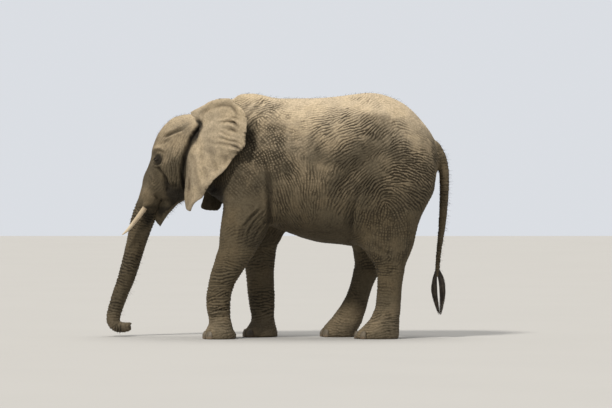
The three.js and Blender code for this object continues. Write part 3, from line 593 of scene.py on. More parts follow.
# Grooves of the body's sides: points (x, z), width, depth, share of lip, which sides.
BODY_GROOVES = [
    ([(-128, 1780), (-96, 1600), (-80, 1440), (-76, 1280), (-86, 1120), (-104, 1000)], 26, 28, 0.4, (-1, 1)),
    ([(-150, 1320), (-250, 1210), (-325, 1105), (-352, 1000), (-350, 925)], 13, 15, 0.7, (-1,)),
    ([(-190, 1300), (-285, 1200), (-362, 1090), (-380, 990), (-372, 930)], 12, 13, 0.6, (-1,)),
    ([(-120, 1290), (-215, 1200), (-280, 1100), (-300, 1010)], 11, 9, 0.6, (-1,)),
    ([(-110, 1230), (-160, 1130), (-215, 1040), (-250, 960)], 11, 7, 0.6, (-1,)),
    ([(-120, 1320), (-60, 1150), (-40, 1000), (-50, 930)], 12, 8, 0.5, (1,)),
    ([(1060, 1900), (860, 1740), (690, 1590), (600, 1450), (520, 1330)], 80, 18, 0.15, (-1, 1)),
    ([(830, 1560), (775, 1400), (742, 1250), (722, 1100), (708, 1010)], 26, 15, 0.5, (-1, 1)),
    ([(760, 1480), (700, 1330), (672, 1180), (668, 1080)], 18, 7, 0.4, (-1, 1)),
    ([(90, 1120), (250, 1075), (450, 1060), (640, 1085), (730, 1140)], 16, 6, 0.4, (-1, 1)),
    ([(-20, 2180), (25, 1950), (20, 1780), (-30, 1620)], 65, 10, 0.1, (-1, 1)),
    ([(-410, 2190), (-330, 2290), (-230, 2380)], 17, 8, 0.4, (-1, 1)),
    ([(-400, 2090), (-300, 2210), (-180, 2330), (-120, 2390)], 17, 9, 0.4, (-1, 1)),
    ([(-370, 2010), (-270, 2120), (-140, 2260)], 16, 7, 0.4, (-1, 1)),
    ([(-330, 1880), (-240, 1990), (-150, 2090)], 15, 5, 0.4, (-1, 1)),
    ([(1240, 1640), (1330, 1560), (1430, 1500)], 22, 7, 0.3, (-1, 1)),
    ([(930, 1000), (1000, 900), (1100, 850), (1190, 860)], 18, 6, 0.4, (-1,)),
    ([(-690, 690), (-600, 668), (-500, 672)], 13, 7, 0.4, (-1,)),
    ([(-705, 560), (-620, 545), (-500, 552)], 12, 6, 0.4, (-1,)),
    ([(-715, 235), (-600, 222), (-480, 240)], 12, 8, 0.5, (-1,)),
    ([(-710, 300), (-600, 288), (-480, 300)], 11, 6, 0.5, (-1,)),
]

# Swellings of the body's sides: x, z, reach along x, reach along z, height.
SWELLINGS = [
    (1170, 2150, 120, 100, 12), (1010, 2240, 180, 60, 6), (-250, 1500, 120, 170, 8),
    (-130, 1180, 60, 110, 10), (1150, 1500, 160, 200, 8), (300, 1500, 260, 180, 6),
]


def groove(u, v, line, width, depth, lip):
    """Height of a groove with raised lips along a line of points in the plane of u and v."""
    path = curve_through(line, 5)
    rise = np.zeros(len(u))
    reach = 4 * width
    near = (u > path[:, 0].min() - reach) & (u < path[:, 0].max() + reach)
    near &= (v > path[:, 1].min() - reach) & (v < path[:, 1].max() + reach)
    near = np.flatnonzero(near)
    away, along = nearest_on_path(np.stack((u[near], v[near]), axis=1), path)
    length = np.linalg.norm(np.diff(path, axis=0), axis=1).sum()
    fade = smoothstep(-0.02, 0.22, along / length) * smoothstep(1.02, 0.78, along / length)
    shape = lip * gauss((away - 2.1 * width) / (1.1 * width)) - gauss(away / width)
    rise[near] = depth * fade * shape
    return rise


def seams_of_flesh(points, where):
    """How much more the skin is smoothed where two solids of flesh meet or a leg joins the body."""
    x, z = points[:, 0], points[:, 2]
    outer = smoothstep(180, 300, np.abs(points[:, 1]))
    on_leg = where.legs > 0.02
    band = highest(
        gauss((x - 715) / 110) * smoothstep(900, 1050, z) * smoothstep(2000, 1700, z),
        gauss((x - 90) / 90) * smoothstep(950, 1050, z) * smoothstep(1900, 1600, z),
        gauss((x + 660) / 80) * smoothstep(900, 1000, z) * smoothstep(1900, 1600, z),
        gauss((z - 905) / 55) * (x < 250) * on_leg,
        gauss((z - 725) / 55) * (x > 250) * on_leg,
    )
    band = np.maximum(band * np.where(z > 1000, outer, 1), 0.45 * gauss((z - 205) / 35) * where.legs)
    return band * (1 - where.ear) * (1 - where.trunk) * (1 - where.tail)


def body_rise(points, normals, where):
    """Folds, hollows and swellings of the trunk of the body and the legs, along the normal."""
    x, z = points[:, 0], points[:, 2]
    facing = smoothstep(0.2, 0.65, np.abs(normals[:, 1])) * (1 - where.ear) * (1 - where.head)
    facing *= (1 - where.trunk) * (1 - where.tail)
    rise = np.zeros(len(points))
    for line, width, depth, lip, sides in BODY_GROOVES:
        grooved = groove(x, z, line, width, depth, lip)
        for side in sides:
            outward = (np.sign(normals[:, 1]) == side) & (np.sign(points[:, 1]) == side)
            rise += np.where(outward, grooved, 0)
            # Narrow grooves also get painted shade.
            if width < 40:
                where.hollow += np.where(outward, np.clip(-grooved / 22, 0, 1), 0) * facing
    for centre_x, centre_z, reach_x, reach_z, height in SWELLINGS:
        rise += height * hill(x, z, centre_x, centre_z, reach_x, reach_z)
    sag = gauss((x - 735) / 75) * smoothstep(-0.3, -0.8, normals[:, 2]) * (z > 700) * (z < 1150)
    return rise * facing + 15 * sag


def head_rise(normals, where):
    """Brow, pouches under the eye, cheek, mouth and lip, along the normal."""
    forward, left, z = where.forward, where.left, where.points[:, 2]
    cos, sin = math.cos(HEAD_YAW), math.sin(HEAD_YAW)
    facing = np.abs(-normals[:, 0] * sin - normals[:, 1] * cos)
    facing = smoothstep(0.25, 0.6, facing) * smoothstep(50, 110, np.abs(left))
    rise = np.zeros(len(z))
    for line, width, depth, lip in HEAD_GROOVES:
        rise += groove(forward, z, line, width, depth, lip)
    # Painted shade in the head's grooves.
    where.hollow += np.clip(-rise / 14, 0, 1) * facing * (1 - where.ear) * (1 - where.trunk)
    # the brow, the hollow that holds the eye, and the lip over the tusk
    rise += 12 * hill(forward, z, 70, 1900, 80, 26)
    rise -= 14 * hill(forward, z, 52, 1795, 62, 50)
    rise += 8 * hill(forward, z, 150, 1410, 75, 45)
    rise *= facing
    # the dent across the brow and the swelling over the root of the trunk
    middle = gauss(left / 120) * smoothstep(60, 160, forward)
    rise -= 8 * middle * gauss((z - 1830) / 90)
    rise += 9 * middle * gauss((z - 1620) / 160)
    rise = rise * (1 - where.ear) * smoothstep(-430, -330, forward)
    return rise * smoothstep(1100, 1200, z) * (1 - where.trunk)


def shaped_ears(points, normals, where):
    """Moves each ear's blade: rolled front and top rims, crumples, veins, a wavy thin rim."""
    z = where.points[:, 2]
    for side, ear in where.ears.items():
        near = np.flatnonzero(ear["mask"] > 0.01)
        back, depth, height, mask = ear["back"][near], ear["depth"][near], z[near], ear["mask"][near]
        spin = np.arctan2(height - EAR_HUB_Z, back + EAR_HUB_BACK)
        reach = np.hypot(height - EAR_HUB_Z, back + EAR_HUB_BACK)
        sheet = np.zeros(len(near))
        # crumples near the rear edge
        bent = height + 0.0016 * (back - 400) ** 2
        crumple = np.sin(
            2 * np.pi * bent / 54 + 3.4 * noise(points[near], 120, 11) + noise(points[near], 45, 19)
        )
        crumple *= 0.65 + 0.9 * noise(points[near], 75, 15)
        crumpled = gauss((back - 520) / 150) * smoothstep(1830, 1930, height) * smoothstep(2250, 2160, height)
        sheet += 15 * crumple * crumpled
        # soft upright folds of the hanging lobe
        drape = np.sin(2 * np.pi * (back + 0.18 * (height - 1600)) / 118 + 1.3 * noise(points[near], 200, 18))
        draped = smoothstep(1960, 1800, height) * smoothstep(1380, 1480, height) * smoothstep(5, 70, depth)
        sheet += 8 * drape * draped
        # waves of the lower rear rim, fading towards the root
        wave = 17 * np.sin(2 * np.pi * (height - 0.6 * back) / 205 + 1.1) * smoothstep(190, 10, depth)
        sheet += wave * smoothstep(2000, 1850, height) * smoothstep(40, 160, back)
        # broad billows and fine veins spreading from the root
        billow = np.sin(5.5 * spin + 0.6)
        sheet += 11 * billow * smoothstep(90, 380, reach)
        sheet += 9 * noise(points[near], 150, 12) + 4 * noise(points[near], 60, 16)
        veins = np.sin(21 * spin + 2.2 * noise(points[near], 170, 13))
        rolled = gauss((depth - 26) / 24) * smoothstep(110, 40, back)
        top = smoothstep(2150, 2260, height) * smoothstep(60, 160, back)
        folded = gauss((depth - 34) / 30) * top
        sheet += 9 * rolled + 14 * folded
        out = ear_direction(side)
        facing = np.abs(normals[near] @ out)
        outer = (normals[near] @ out > 0.2).astype(float)
        veined = smoothstep(120, 260, reach) * smoothstep(15, 80, depth)
        rise = 4.2 * np.maximum(veins, 0) ** 3 * veined
        # Painted shade in the valleys of the crumples, veins, billows and drapes, and under the top's rolled
        # rim.
        shade = 0.75 * np.clip(-crumple, 0, 1) * crumpled + 0.25 * np.clip(-veins, 0, 1) * veined
        shade += 0.25 * np.clip(-billow, 0, 1) * smoothstep(150, 380, reach)
        shade += 0.34 * np.clip(-drape, 0, 1) * draped
        shade += 0.8 * gauss((depth - 84) / 12) * top * smoothstep(250, 420, back)
        where.hollow[near] += shade * mask
        rise -= 13 * gauss((depth - 84) / 14) * top * outer
        front_edge = 10 * gauss((depth - 62) / 12) * smoothstep(90, 20, back)
        rise -= front_edge * outer * smoothstep(2150, 1900, height)
        drawn_back = smoothstep(150, 10, depth) * smoothstep(300, 150, back) * smoothstep(1800, 1960, height)
        drawn_back *= smoothstep(2240, 2160, height)
        # thinner towards the rim, from the blade's middle
        middle = ear["out"][near]
        thin = 0.45 * smoothstep(120, 20, depth) * smoothstep(20, 90, back + np.where(height < 1600, 60, 0))
        move = (sheet * mask)[:, None] * out + (rise * facing * mask)[:, None] * normals[near]
        move -= (middle * thin * mask)[:, None] * out
        # the lobe draws down to its tip, the front edge back at the top
        low = smoothstep(1430, 1308, height) * mask
        slope = ear_slope(side)
        narrowing = 0.3 if side < 0 else -1.3
        move += (48 * drawn_back * mask - (back + 12) * narrowing * low)[:, None] * slope
        move[:, 2] -= 42 * low**1.5
        # a fuller rear and lower edge, with an uneven outline
        edge = smoothstep(190, 25, depth) * mask
        rear = smoothstep(250, 420, back) * smoothstep(1850, 2000, height) * smoothstep(2340, 2240, height)
        lower = smoothstep(1330, 1430, height) * smoothstep(2040, 1900, height) * smoothstep(20, 130, back)
        ragged = 11 * noise(points[near], 70, 14) + 15 * noise(points[near], 170, 17)
        ragged *= smoothstep(80, 5, depth) * smoothstep(60, 160, back) * smoothstep(1400, 1520, height) * mask
        move += ((26 * rear + 34 * lower) * edge + ragged)[:, None] * slope
        move[:, 2] -= 24 * lower * edge
        points[near] += move
    return points


def ear_pocket(where):
    """How deep the hollow in front of each ear's rolled edge is, from 0 to 1."""
    pocket = np.zeros(len(where.points))
    z = where.points[:, 2]
    for ear in where.ears.values():
        shape = gauss((ear["depth"] + 24) / 20) * (1 - ear["mask"]) * smoothstep(150, 90, ear["back"])
        pocket = np.maximum(pocket, shape * smoothstep(1330, 1480, z) * smoothstep(2260, 2150, z))
    return pocket


def ear_slit(where, pocket):
    """How much shade is painted in the slit in front of each ear: the pocket, and the ear's drawn-back upper
    edge.
    """
    slit = pocket.copy()
    z = where.points[:, 2]
    for ear in where.ears.values():
        upper = smoothstep(1890, 2000, z) * smoothstep(2215, 2165, z) * smoothstep(170, 120, ear["back"])
        slit = np.maximum(slit, upper * smoothstep(32, 20, ear["depth"]) * smoothstep(-62, -36, ear["depth"]))
    return slit


# ------------------------------------------------------------------ the skin


def tusk_sheath(side):
    """A tapering sleeve of flesh from the cheek down to where the tusk comes out of the lip."""
    (forward, left, z, _), (end_forward, end_left, end_z) = TUSK[0], SHEATH_END
    root = Vector(Plan.metres(head_point(forward, -side * left, z)))
    end = Vector(Plan.metres(head_point(end_forward, -side * end_left, end_z)))
    bpy.ops.object.select_all(action="DESELECT")
    bpy.ops.mesh.primitive_cone_add(
        vertices=32,
        radius1=SHEATH_ROOT_RADIUS,
        radius2=SHEATH_END_RADIUS,
        depth=(end - root).length,
        location=(root + end) / 2,
        rotation=(end - root).to_track_quat("Z", "Y").to_euler(),
    )
    bpy.ops.object.transform_apply(location=True, rotation=True, scale=True)
    return bpy.context.object


def joined_flesh(voxel):
    """One closed mesh over every solid of flesh, and over the eyes, whose lids grow from it."""
    bpy.ops.object.select_all(action="DESELECT")
    copies = []
    for name in [*FLESH, "eye_left", "eye_right"]:
        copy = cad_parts[name].copy()
        copy.data = copy.data.copy()
        copy.parent = None
        for key in list(copy.keys()):
            del copy[key]
        bpy.context.collection.objects.link(copy)
        copies.append(copy)
    for side in (-1, 1):
        copies.append(tusk_sheath(side))
    select_only(*copies)
    bpy.ops.object.join()
    skin = bpy.context.view_layer.objects.active
    skin.name = skin.data.name = "elephant_skin"
    with all_in_edit_mode():
        bpy.ops.mesh.remove_doubles(threshold=SAME_PLACE)
    skin.data.remesh_voxel_size = voxel
    bpy.ops.object.voxel_remesh()
    skin.data.materials.clear()
    return skin


def add_group(piece, name, weights, levels=16):
    group = piece.vertex_groups.new(name=name)
    step = np.round(np.clip(weights, 0, 1) * levels).astype(int)
    for k in range(1, levels + 1):
        group.add(np.flatnonzero(step == k).tolist(), k / levels, "REPLACE")
    return group.name


def apply_modifier(piece, kind, **settings):
    modifier = piece.modifiers.new(kind.lower(), kind)
    for name, value in settings.items():
        setattr(modifier, name, value)
    select_only(piece)
    bpy.ops.object.modifier_apply(modifier=modifier.name)


def smooth_by(piece, share, passes):
    """Smooths a piece, each vertex by its share of the passes."""
    group = add_group(piece, "smooth", share, 40)
    apply_modifier(piece, "SMOOTH", factor=0.5, iterations=passes, vertex_group=group)
    piece.vertex_groups.clear()


def select_faces(mesh, chosen):
    """Selects faces by a list of true and false, and nothing else."""
    for items in (mesh.vertices, mesh.edges):
        items.foreach_set("select", np.zeros(len(items), bool))
    mesh.polygons.foreach_set("select", chosen)


def face_middles(mesh):
    return read(mesh.polygons, "center", 3)


def eye_axes(side):
    """The eye's middle in the body's plan, and its outward, lengthwise and upward directions."""
    middle = head_point(EYE["forward"], -side * EYE["left"], EYE["z"])
    zero = head_point(0, 0, 0)
    ahead, outward = head_point(1, 0, 0) - zero, head_point(0, -side, 0) - zero
    out = outward * 0.955 + ahead * 0.27 + np.array((0, 0, 0.12))
    out /= np.linalg.norm(out)
    length = ahead - (ahead @ out) * out - np.array((0, 0, 0.22))
    length -= (length @ out) * out
    length /= np.linalg.norm(length)
    up = np.cross(out, length)
    return middle, out, length, up * np.sign(up[2])


def lid_outline():
    """The opening between the lids, lengthwise and upward from the eye's middle."""
    turn = np.linspace(0, 2 * np.pi, 33)[:-1]
    a = 21.5 * np.cos(turn)
    b = np.sin(turn) * np.where(np.sin(turn) > 0, 11.5, 9.0) * (1 - 0.3 * np.cos(turn) ** 4)
    return np.stack((a, b), axis=1)


# The lids' profile: distance out from their opening, and rise above the eyeball or the skin.
LID_STEPS = [-12, -5, -1.5, 0.5, 4, 8, 12, 17, 22, 27, 33, 40, 50]
LID_RISES = [-9, -8, -2, 3.5, 5.5, 4.5, -1.5, 3, 5, 0, 3, 1, 0]
LID_CLEARANCE = 1.5


def shape_lids(points):
    """Lids round each eyeball, with a furrow and a fold round them."""
    for side in (-1, 1):
        middle, out, length, up = eye_axes(side)
        offset = points - middle
        near = np.flatnonzero(np.linalg.norm(offset, axis=1) < 78)
        a, b, c = (offset[near] @ axis for axis in (length, up, out))
        away = -within_outline(a, b, lid_outline())
        ball = np.sqrt(np.maximum(EYE["radius"] ** 2 - a**2 - b**2, 13.0**2))
        base = ball + (c - ball) * smoothstep(7, 27, away)
        weight = np.where(b > 0, 1.25, 1.0)
        target = base + np.interp(away, LID_STEPS, LID_RISES) * np.where(away > 0, weight, 1)
        target += 1.3 * np.sin(17 * np.arctan2(b, a)) * smoothstep(12, 24, away) * smoothstep(60, 36, away)
        target = np.where(away > 0.5, np.maximum(target, ball + LID_CLEARANCE), target)
        share = smoothstep(56, 34, away) * (c > -40)
        points[near] += ((target - c) * share)[:, None] * out
    return points


def shape_nostrils(points):
    """Two nostrils and the finger in the end of the trunk."""
    end = np.array(TRUNK[-1][:3], float)
    heading = TRUNK_PATH[-1] - TRUNK_PATH[-4]
    heading /= np.linalg.norm(heading)
    across = np.array((-heading[1], heading[0], 0)) / np.hypot(heading[0], heading[1])
    up = np.cross(heading, across)
    offset = points - end
    near = np.flatnonzero(np.linalg.norm(offset, axis=1) < 90)
    ahead, side, high = (offset[near] @ axis for axis in (heading, across, up))
    tipward = smoothstep(-25, 5, ahead)
    hole = gauss(np.hypot(np.abs(side) - 14, (high - 2) * 0.9) / 9.5)
    move = (-22 * hole * tipward)[:, None] * heading
    finger = gauss(side / 15) * gauss((high - 27 * np.sign(up[2])) / 14) * smoothstep(-30, 10, ahead)
    move += (16 * finger)[:, None] * heading
    points[near] += move
    return points


def nail_places():
    """For each toenail's node: the ways out and across, and the middle of its outer face."""
    places = {}
    for name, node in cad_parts.items():
        if "nail" not in name:
            continue
        leg, _, number = name.rpartition("_nail_")
        count, spread = (4, 33) if leg.startswith("foreleg") else (3, 34)
        angle = math.radians((int(number) - (count + 1) / 2) * spread)
        out = np.array((-math.cos(angle), math.sin(angle), 0))
        corners = points_of(node.data)
        across = np.array((-out[1], out[0], 0))
        reach = (corners @ out).max()
        centre = out * reach + across * (corners @ across).mean() + np.array((0, 0, 41.0))
        places[name] = (out, across, centre)
    return places


def blend_lie(lie, other, share):
    """Turns line directions towards others, whichever way round is nearer."""
    same = np.sign(np.einsum("ij,ij->i", lie, other))
    same[same == 0] = 1
    mixed = lie * (1 - share)[:, None] + other * (share * same)[:, None]
    return mixed / np.maximum(np.linalg.norm(mixed, axis=1), 1e-6)[:, None]


def lie_of_wrinkles(points, normals, where):
    """The two directions in which wrinkles run, how deep they are, and how far they cross."""
    angle, depth, crossing = wrinkle_plan(points)
    level, upward = surface_frame(normals)
    angle = angle + 0.34 * noise(points, 120, 3) + 0.26 * noise(points, 48, 5)
    first = np.cos(angle)[:, None] * level + np.sin(angle)[:, None] * upward
    second = np.cos(angle + 1.45)[:, None] * level + np.sin(angle + 1.45)[:, None] * upward
    for share, path, lengths, ring_depth in (
        (where.trunk, TRUNK_PATH, where.trunk_length, 4.3),
        (where.tail, TAIL_PATH, where.tail_length, 3.2),
    ):
        heading = path_heading(path, lengths)
        ring = np.cross(normals, heading)
        ring /= np.maximum(np.linalg.norm(ring, axis=1), 0.05)[:, None]
        first = blend_lie(first, ring, share)
        depth = depth + (ring_depth - depth) * share
        crossing = crossing * (1 - share)
    for side, ear in where.ears.items():
        spread = (ear["back"] + EAR_HUB_BACK)[:, None] * ear_slope(side)
        spread[:, 2] += points[:, 2] - EAR_HUB_Z
        spread /= np.maximum(np.linalg.norm(spread, axis=1), 1)[:, None]
        first = blend_lie(first, spread, ear["mask"])
        depth = depth + (0.8 + 1.2 * smoothstep(90, 0, ear["back"]) - depth) * ear["mask"]
        crossing = crossing * (1 - 0.8 * ear["mask"])
    depth = depth * (1 - 0.45 * where.head * (where.forward > 120))
    depth = depth * np.clip(0.9 + 0.55 * noise(points, 150, 23) + 0.45 * noise(points, 50, 24), 0.4, 1.3)
    # wrinkles run straight across the back, where the two sides' wrinkles meet
    ridge = smoothstep(0.8, 0.96, normals[:, 2]) * (1 - where.ear) * (1 - where.trunk) * (points[:, 2] > 1700)
    first = blend_lie(first, np.cross(normals, (1.0, 0, 0)), ridge)
    return first, second, depth * (1 - 0.35 * ridge), crossing * (1 - 0.5 * ridge)


# The jaw's middle and the trunk's back face, which the shut mouth brings together: z, forward.
JAW_MIDDLE = [(1100, 164), (1165, 136), (1260, 84), (1385, 0)]
TRUNK_BACK = [(1100, 215), (1165, 197), (1260, 155), (1330, 124), (1400, 100)]
# Rounds of smoothing at the seams of the flesh, and the most triangles the skin may have.
SMOOTH_PASSES = 400
SKIN_LIMIT = 199000


class MESH_OT_elephant_skin(bpy.types.Operator):
    """Model the hide as one skin over the solids of flesh, with its folds and wrinkles"""

    bl_idname = "mesh.elephant_skin"
    bl_label = "Skin"

    def execute(self, context):
        hide = context.scene.elephant_hide
        skin = joined_flesh(hide.grain)
        mesh = skin.data
        self.smooth(skin)
        points = points_of(mesh)
        normals = normals_of(mesh)
        where = Regions(points)

        pocket = ear_pocket(where)
        rise = body_rise(points, normals, where) + head_rise(normals, where)
        rise += 8 * where.trunk + 8 * where.tail - 50 * pocket
        for out, across, centre in nail_places().values():
            offset = points - centre
            near = np.hypot(offset @ across / 39, offset[:, 2] / 36)
            close = np.abs(offset @ out) < 60
            rise += np.where(close, 4.5 * gauss((near - 1.2) / 0.16) - 5 * smoothstep(1.0, 0.8, near), 0)
        points += normals * rise[:, None]
        points[:, 2] = np.maximum(points[:, 2], 0)
        points = shaped_ears(points, normals, where)
        self.draw_down_lip(points, where)
        set_points(mesh, Plan.metres(points))

        normals = normals_of(mesh)
        first, second, depth, crossing = lie_of_wrinkles(points, normals, where)
        faces = read(mesh.polygons, "vertices", 4, np.int32)
        rings = ring_neighbours(faces, len(points))
        spacing = hide.wrinkle_spacing * 1000
        lines = grown_wrinkles(points, rings, first, spacing, WRINKLE_TURNS, 1)
        crossed = grown_wrinkles(points, rings, second, spacing, WRINKLE_TURNS, 2)
        furrow = smoothstep(0.5, -1, lines)
        furrow = np.maximum(furrow, smoothstep(0.5, -1, crossed) * crossing)
        furrow *= np.clip(depth / 5, 0, 1.2) * (1 - 0.6 * pocket)
        sole = smoothstep(4, 22, points[:, 2])
        points = points - normals * (furrow * sole * hide.wrinkle_depth * 1000)[:, None]
        # The furrows, hollows and the ears' slits also carry painted shade in the hide's colour.
        set_value(mesh, "furrow", furrow)
        set_value(mesh, "hollow", np.clip(where.hollow, 0, 1))
        set_value(mesh, "pocket", ear_slit(where, pocket))
        self.paint(mesh, points, normals, where)
        set_points(mesh, Plan.metres(points))

        self.refine(skin)
        points = points_of(mesh)
        points = shape_nostrils(shape_lids(points))
        set_points(mesh, Plan.metres(points))
        self.lighten(skin, hide.triangles)
        select_only(skin)
        bpy.ops.object.shade_smooth()
        mesh.materials.append(hide_material(hide))
        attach(skin, "root")
        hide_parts(*FLESH)
        return {"FINISHED"}

    def smooth(self, skin):
        mesh = skin.data
        points = points_of(mesh)
        where = Regions(points)
        passes = 150 * (1 - where.ear) * (1 - where.trunk) * (1 - where.tail)
        passes = passes * (1 - 0.8 * where.legs)
        passes = np.maximum(passes * (1 - 0.78 * where.head), 14)
        passes = np.maximum(passes, SMOOTH_PASSES * seams_of_flesh(points, where))
        smooth_by(skin, relaxed(edges_of(mesh), passes / SMOOTH_PASSES, 6), SMOOTH_PASSES)

    def draw_down_lip(self, points, where):
        """Stretches the lower lip to its pointed end."""
        low = smoothstep(1240, 1120, points[:, 2]) * (np.abs(where.left) < 110) * (1 - where.trunk)
        low *= (where.forward > -60) & (where.forward < 215)
        ahead = head_point(1, 0, 0) - head_point(0, 0, 0)
        # the mouth is shut: the front of the jaw reaches the back of the trunk
        z = points[:, 2]
        middle = np.interp(z, *zip(*JAW_MIDDLE))
        trunk_back = np.interp(z, *zip(*TRUNK_BACK))
        shut = smoothstep(-15, 30, where.forward - middle) * (where.forward < trunk_back)
        narrow = smoothstep(120, 90, np.abs(where.left))
        shut *= smoothstep(1085, 1205, z) * smoothstep(1410, 1350, z) * narrow
        points += (14 * low + 50 * shut)[:, None] * ahead
        points[:, 2] -= 26 * low

    def paint(self, mesh, points, normals, where):
        """Stores the dusty places with the ears' painted highlight, where the hide is darker or painted in
        shade, and where the ears are.
        """
        z, up = points[:, 2], normals[:, 2]
        # Painted shade behind the ears: on each ear's inner face, and on the neck and chest under and behind
        # it.
        behind = np.zeros(len(points))
        for side, ear in where.ears.items():
            inner = normals @ ear_direction(side) < -0.15
            behind = np.maximum(behind, 0.9 * ear["mask"] * inner)
            under = smoothstep(-50, 5, ear["depth"]) * (1 - ear["mask"]) * (ear["out"] < -20)
            low = smoothstep(60, 200, ear["back"]) * smoothstep(2230, 2000, z)
            behind = np.maximum(behind, 0.85 * under * low)
        set_value(mesh, "dust_and_highlight", np.clip(self.dust_and_highlight(points, up, where, behind), 0, 1))
        set_value(mesh, "dark", np.clip(self.dark(points, up, where, behind), 0, 1))
        set_value(mesh, "black", np.clip(self.black(points, where, behind), 0, 1))
        set_value(mesh, "ear", where.ear)

    def dust_and_highlight(self, points, up, where, behind):
        """Dust on the back, shoulder, rump, ears and brow, and a little round the feet; on the ears it is also
        a painted highlight, and it is cleared where shade is painted behind the ears.
        """
        x, z = points[:, 0], points[:, 2]
        patchy = z + 110 * noise(points, 300, 21) + 50 * noise(points, 110, 22)
        dust_and_highlight = highest(
            smoothstep(-0.1, 0.8, up) * smoothstep(1500, 2300, z),
            0.9 * smoothstep(2020, 2380, patchy),
            0.46 * hill(x, patchy, 60, 2010, 420, 330),
            0.72 * hill(x, patchy, 1260, 2060, 260, 260),
            # The ears: dusty, with a painted highlight that is stronger higher up.
            where.ear * (0.74 + 0.26 * smoothstep(1500, 2200, z)),
            0.5 * where.head * smoothstep(1700, 2060, z),
        )
        dust_and_highlight *= 1 - 0.4 * where.head
        dust_and_highlight = np.maximum(dust_and_highlight, 0.34 * smoothstep(560, 120, z))
        # Cleared where shade is painted behind the ears, and off the trunk above its lowest part.
        dust_and_highlight *= (1 - where.trunk * smoothstep(300, 700, z)) * (1 - behind)
        flank = 0.5 * smoothstep(1980, 1700, z) * smoothstep(1240, 1400, z)
        return dust_and_highlight * (1 - flank * (1 - where.ear) * (1 - where.head))

    def dark(self, points, up, where, behind):
        """The darker hide of the legs, trunk, tail and lower body, and painted shade on faces turned down, on
        the cheeks and behind the ears.
        """
        z = points[:, 2]
        dark = highest(
            smoothstep(1700, 1150, z) * (1 - where.ear),
            where.trunk * smoothstep(1500, 1200, z),
            # Painted shade on faces turned down.
            0.9 * smoothstep(-0.1, -0.7, up) * (1 - where.ear),
            0.75 * where.tail,
        )
        dark *= 1 - 0.45 * smoothstep(560, 120, z)
        # Painted shade on the cheeks.
        cheek = where.head * smoothstep(1800, 1600, z) * smoothstep(110, 10, where.forward)
        return highest(dark, 0.8 * cheek, behind)

    def black(self, points, where, behind):
        """Places in deep shade: jaw, mouth, temple, eye, throat, belly and behind the ears."""
        (x, y, z), forward, head = points.T, where.forward, where.head
        mouth = smoothstep(1345, 1290, z) * smoothstep(1060, 1160, z) * smoothstep(310, 240, forward)
        black = highest(
            head * smoothstep(1590, 1470, z) * smoothstep(40, -30, forward),
            head * smoothstep(1350, 1290, z) * (forward < 215),
            0.9 * mouth * where.trunk * (x < -1150),
            gauss(np.hypot(forward + 22, (z - 1545) * 0.6) / 34) * head,
        )
        # Painted shade round the eye and in its socket, and under the brow.
        eye = np.clip(2.6 * gauss(np.hypot(forward - 44, (z - 1786) * 0.85) / 38), 0, 1) * head
        brow = 0.7 * gauss(np.hypot((forward - 96) / 56, (z - 1842) / 26)) * head
        black = highest(0.95 * black, eye, brow) * (np.abs(where.left) > 40)
        belly = smoothstep(1350, 1050, z) * smoothstep(-420, -250, x)
        belly *= smoothstep(900, 700, x) * smoothstep(880, 940, z)
        throat = smoothstep(-470, -600, x) * smoothstep(1620, 1480, z) * (1 - head)
        return highest(
            black,
            0.65 * behind,
            0.45 * belly,
            # Painted shade low on the far side.
            0.25 * smoothstep(60, 200, y) * smoothstep(1000, 800, z),
            throat * (1 - where.trunk) * (1 - where.ear) * smoothstep(1180, 1260, z),
        )

    def refine(self, skin):
        """Divides the skin round the eyes and at the end of the trunk."""
        mesh = skin.data
        middles = Plan.millimetres(face_middles(mesh))
        chosen = np.zeros(len(middles), bool)
        for side in (-1, 1):
            chosen |= np.linalg.norm(middles - eye_axes(side)[0], axis=1) < 62
        chosen |= np.linalg.norm(middles - np.array(TRUNK[-1][:3]), axis=1) < 55
        select_only(skin)
        select_faces(mesh, chosen)
        bpy.ops.object.mode_set(mode="EDIT")
        bpy.ops.mesh.select_mode(type="FACE")
        bpy.ops.object.mode_set(mode="OBJECT")
        select_faces(mesh, chosen)
        bpy.ops.object.mode_set(mode="EDIT")
        bpy.ops.mesh.subdivide(number_cuts=3)
        bpy.ops.mesh.select_all(action="SELECT")
        bpy.ops.mesh.quads_convert_to_tris()
        bpy.ops.object.mode_set(mode="OBJECT")

    def lighten(self, skin, triangles):
        """Thins the skin's mesh to its allowance, least on the face."""
        mesh = skin.data
        points = points_of(mesh)
        forward, left, z = head_frame(points)
        kept = (forward > -180) & (z > 1330) & (z < 2050) & (np.abs(left) < 400)
        kept |= np.linalg.norm(points - np.array(TRUNK[-1][:3]), axis=1) < 70
        group = add_group(skin, "thinned", 1.0 - kept, 1)
        ratio = triangles / len(mesh.polygons)
        apply_modifier(skin, "DECIMATE", ratio=ratio, vertex_group=group, vertex_group_factor=1.0)
        skin.vertex_groups.clear()
        if len(mesh.polygons) > SKIN_LIMIT:
            raise RuntimeError(f"the skin has {len(mesh.polygons)} triangles")


# ------------------------------------------------------------------ shader groups


def new_group(name, inputs, outputs):
    """An empty shader group, with its input and output nodes."""
    group = bpy.data.node_groups.new(name, "ShaderNodeTree")
    for label, kind, value in inputs:
        socket = group.interface.new_socket(label, in_out="INPUT", socket_type=kind)
        socket.default_value = value
    for label, kind in outputs:
        group.interface.new_socket(label, in_out="OUTPUT", socket_type=kind)
    return group, group.nodes.new("NodeGroupInput"), group.nodes.new("NodeGroupOutput")


def add_node(tree, kind, settings=None, **values):
    """A node with its settings, and its sockets given values or links."""
    node = tree.nodes.new(kind)
    for name, value in (settings or {}).items():
        setattr(node, name, value)
    for name, value in values.items():
        key = int(name[1:]) if name[0] == "i" and name[1:].isdigit() else name.replace("_", " ")
        socket = node.inputs[key]
        if isinstance(value, bpy.types.NodeSocket):
            tree.links.new(value, socket)
        else:
            socket.default_value = value
    return node


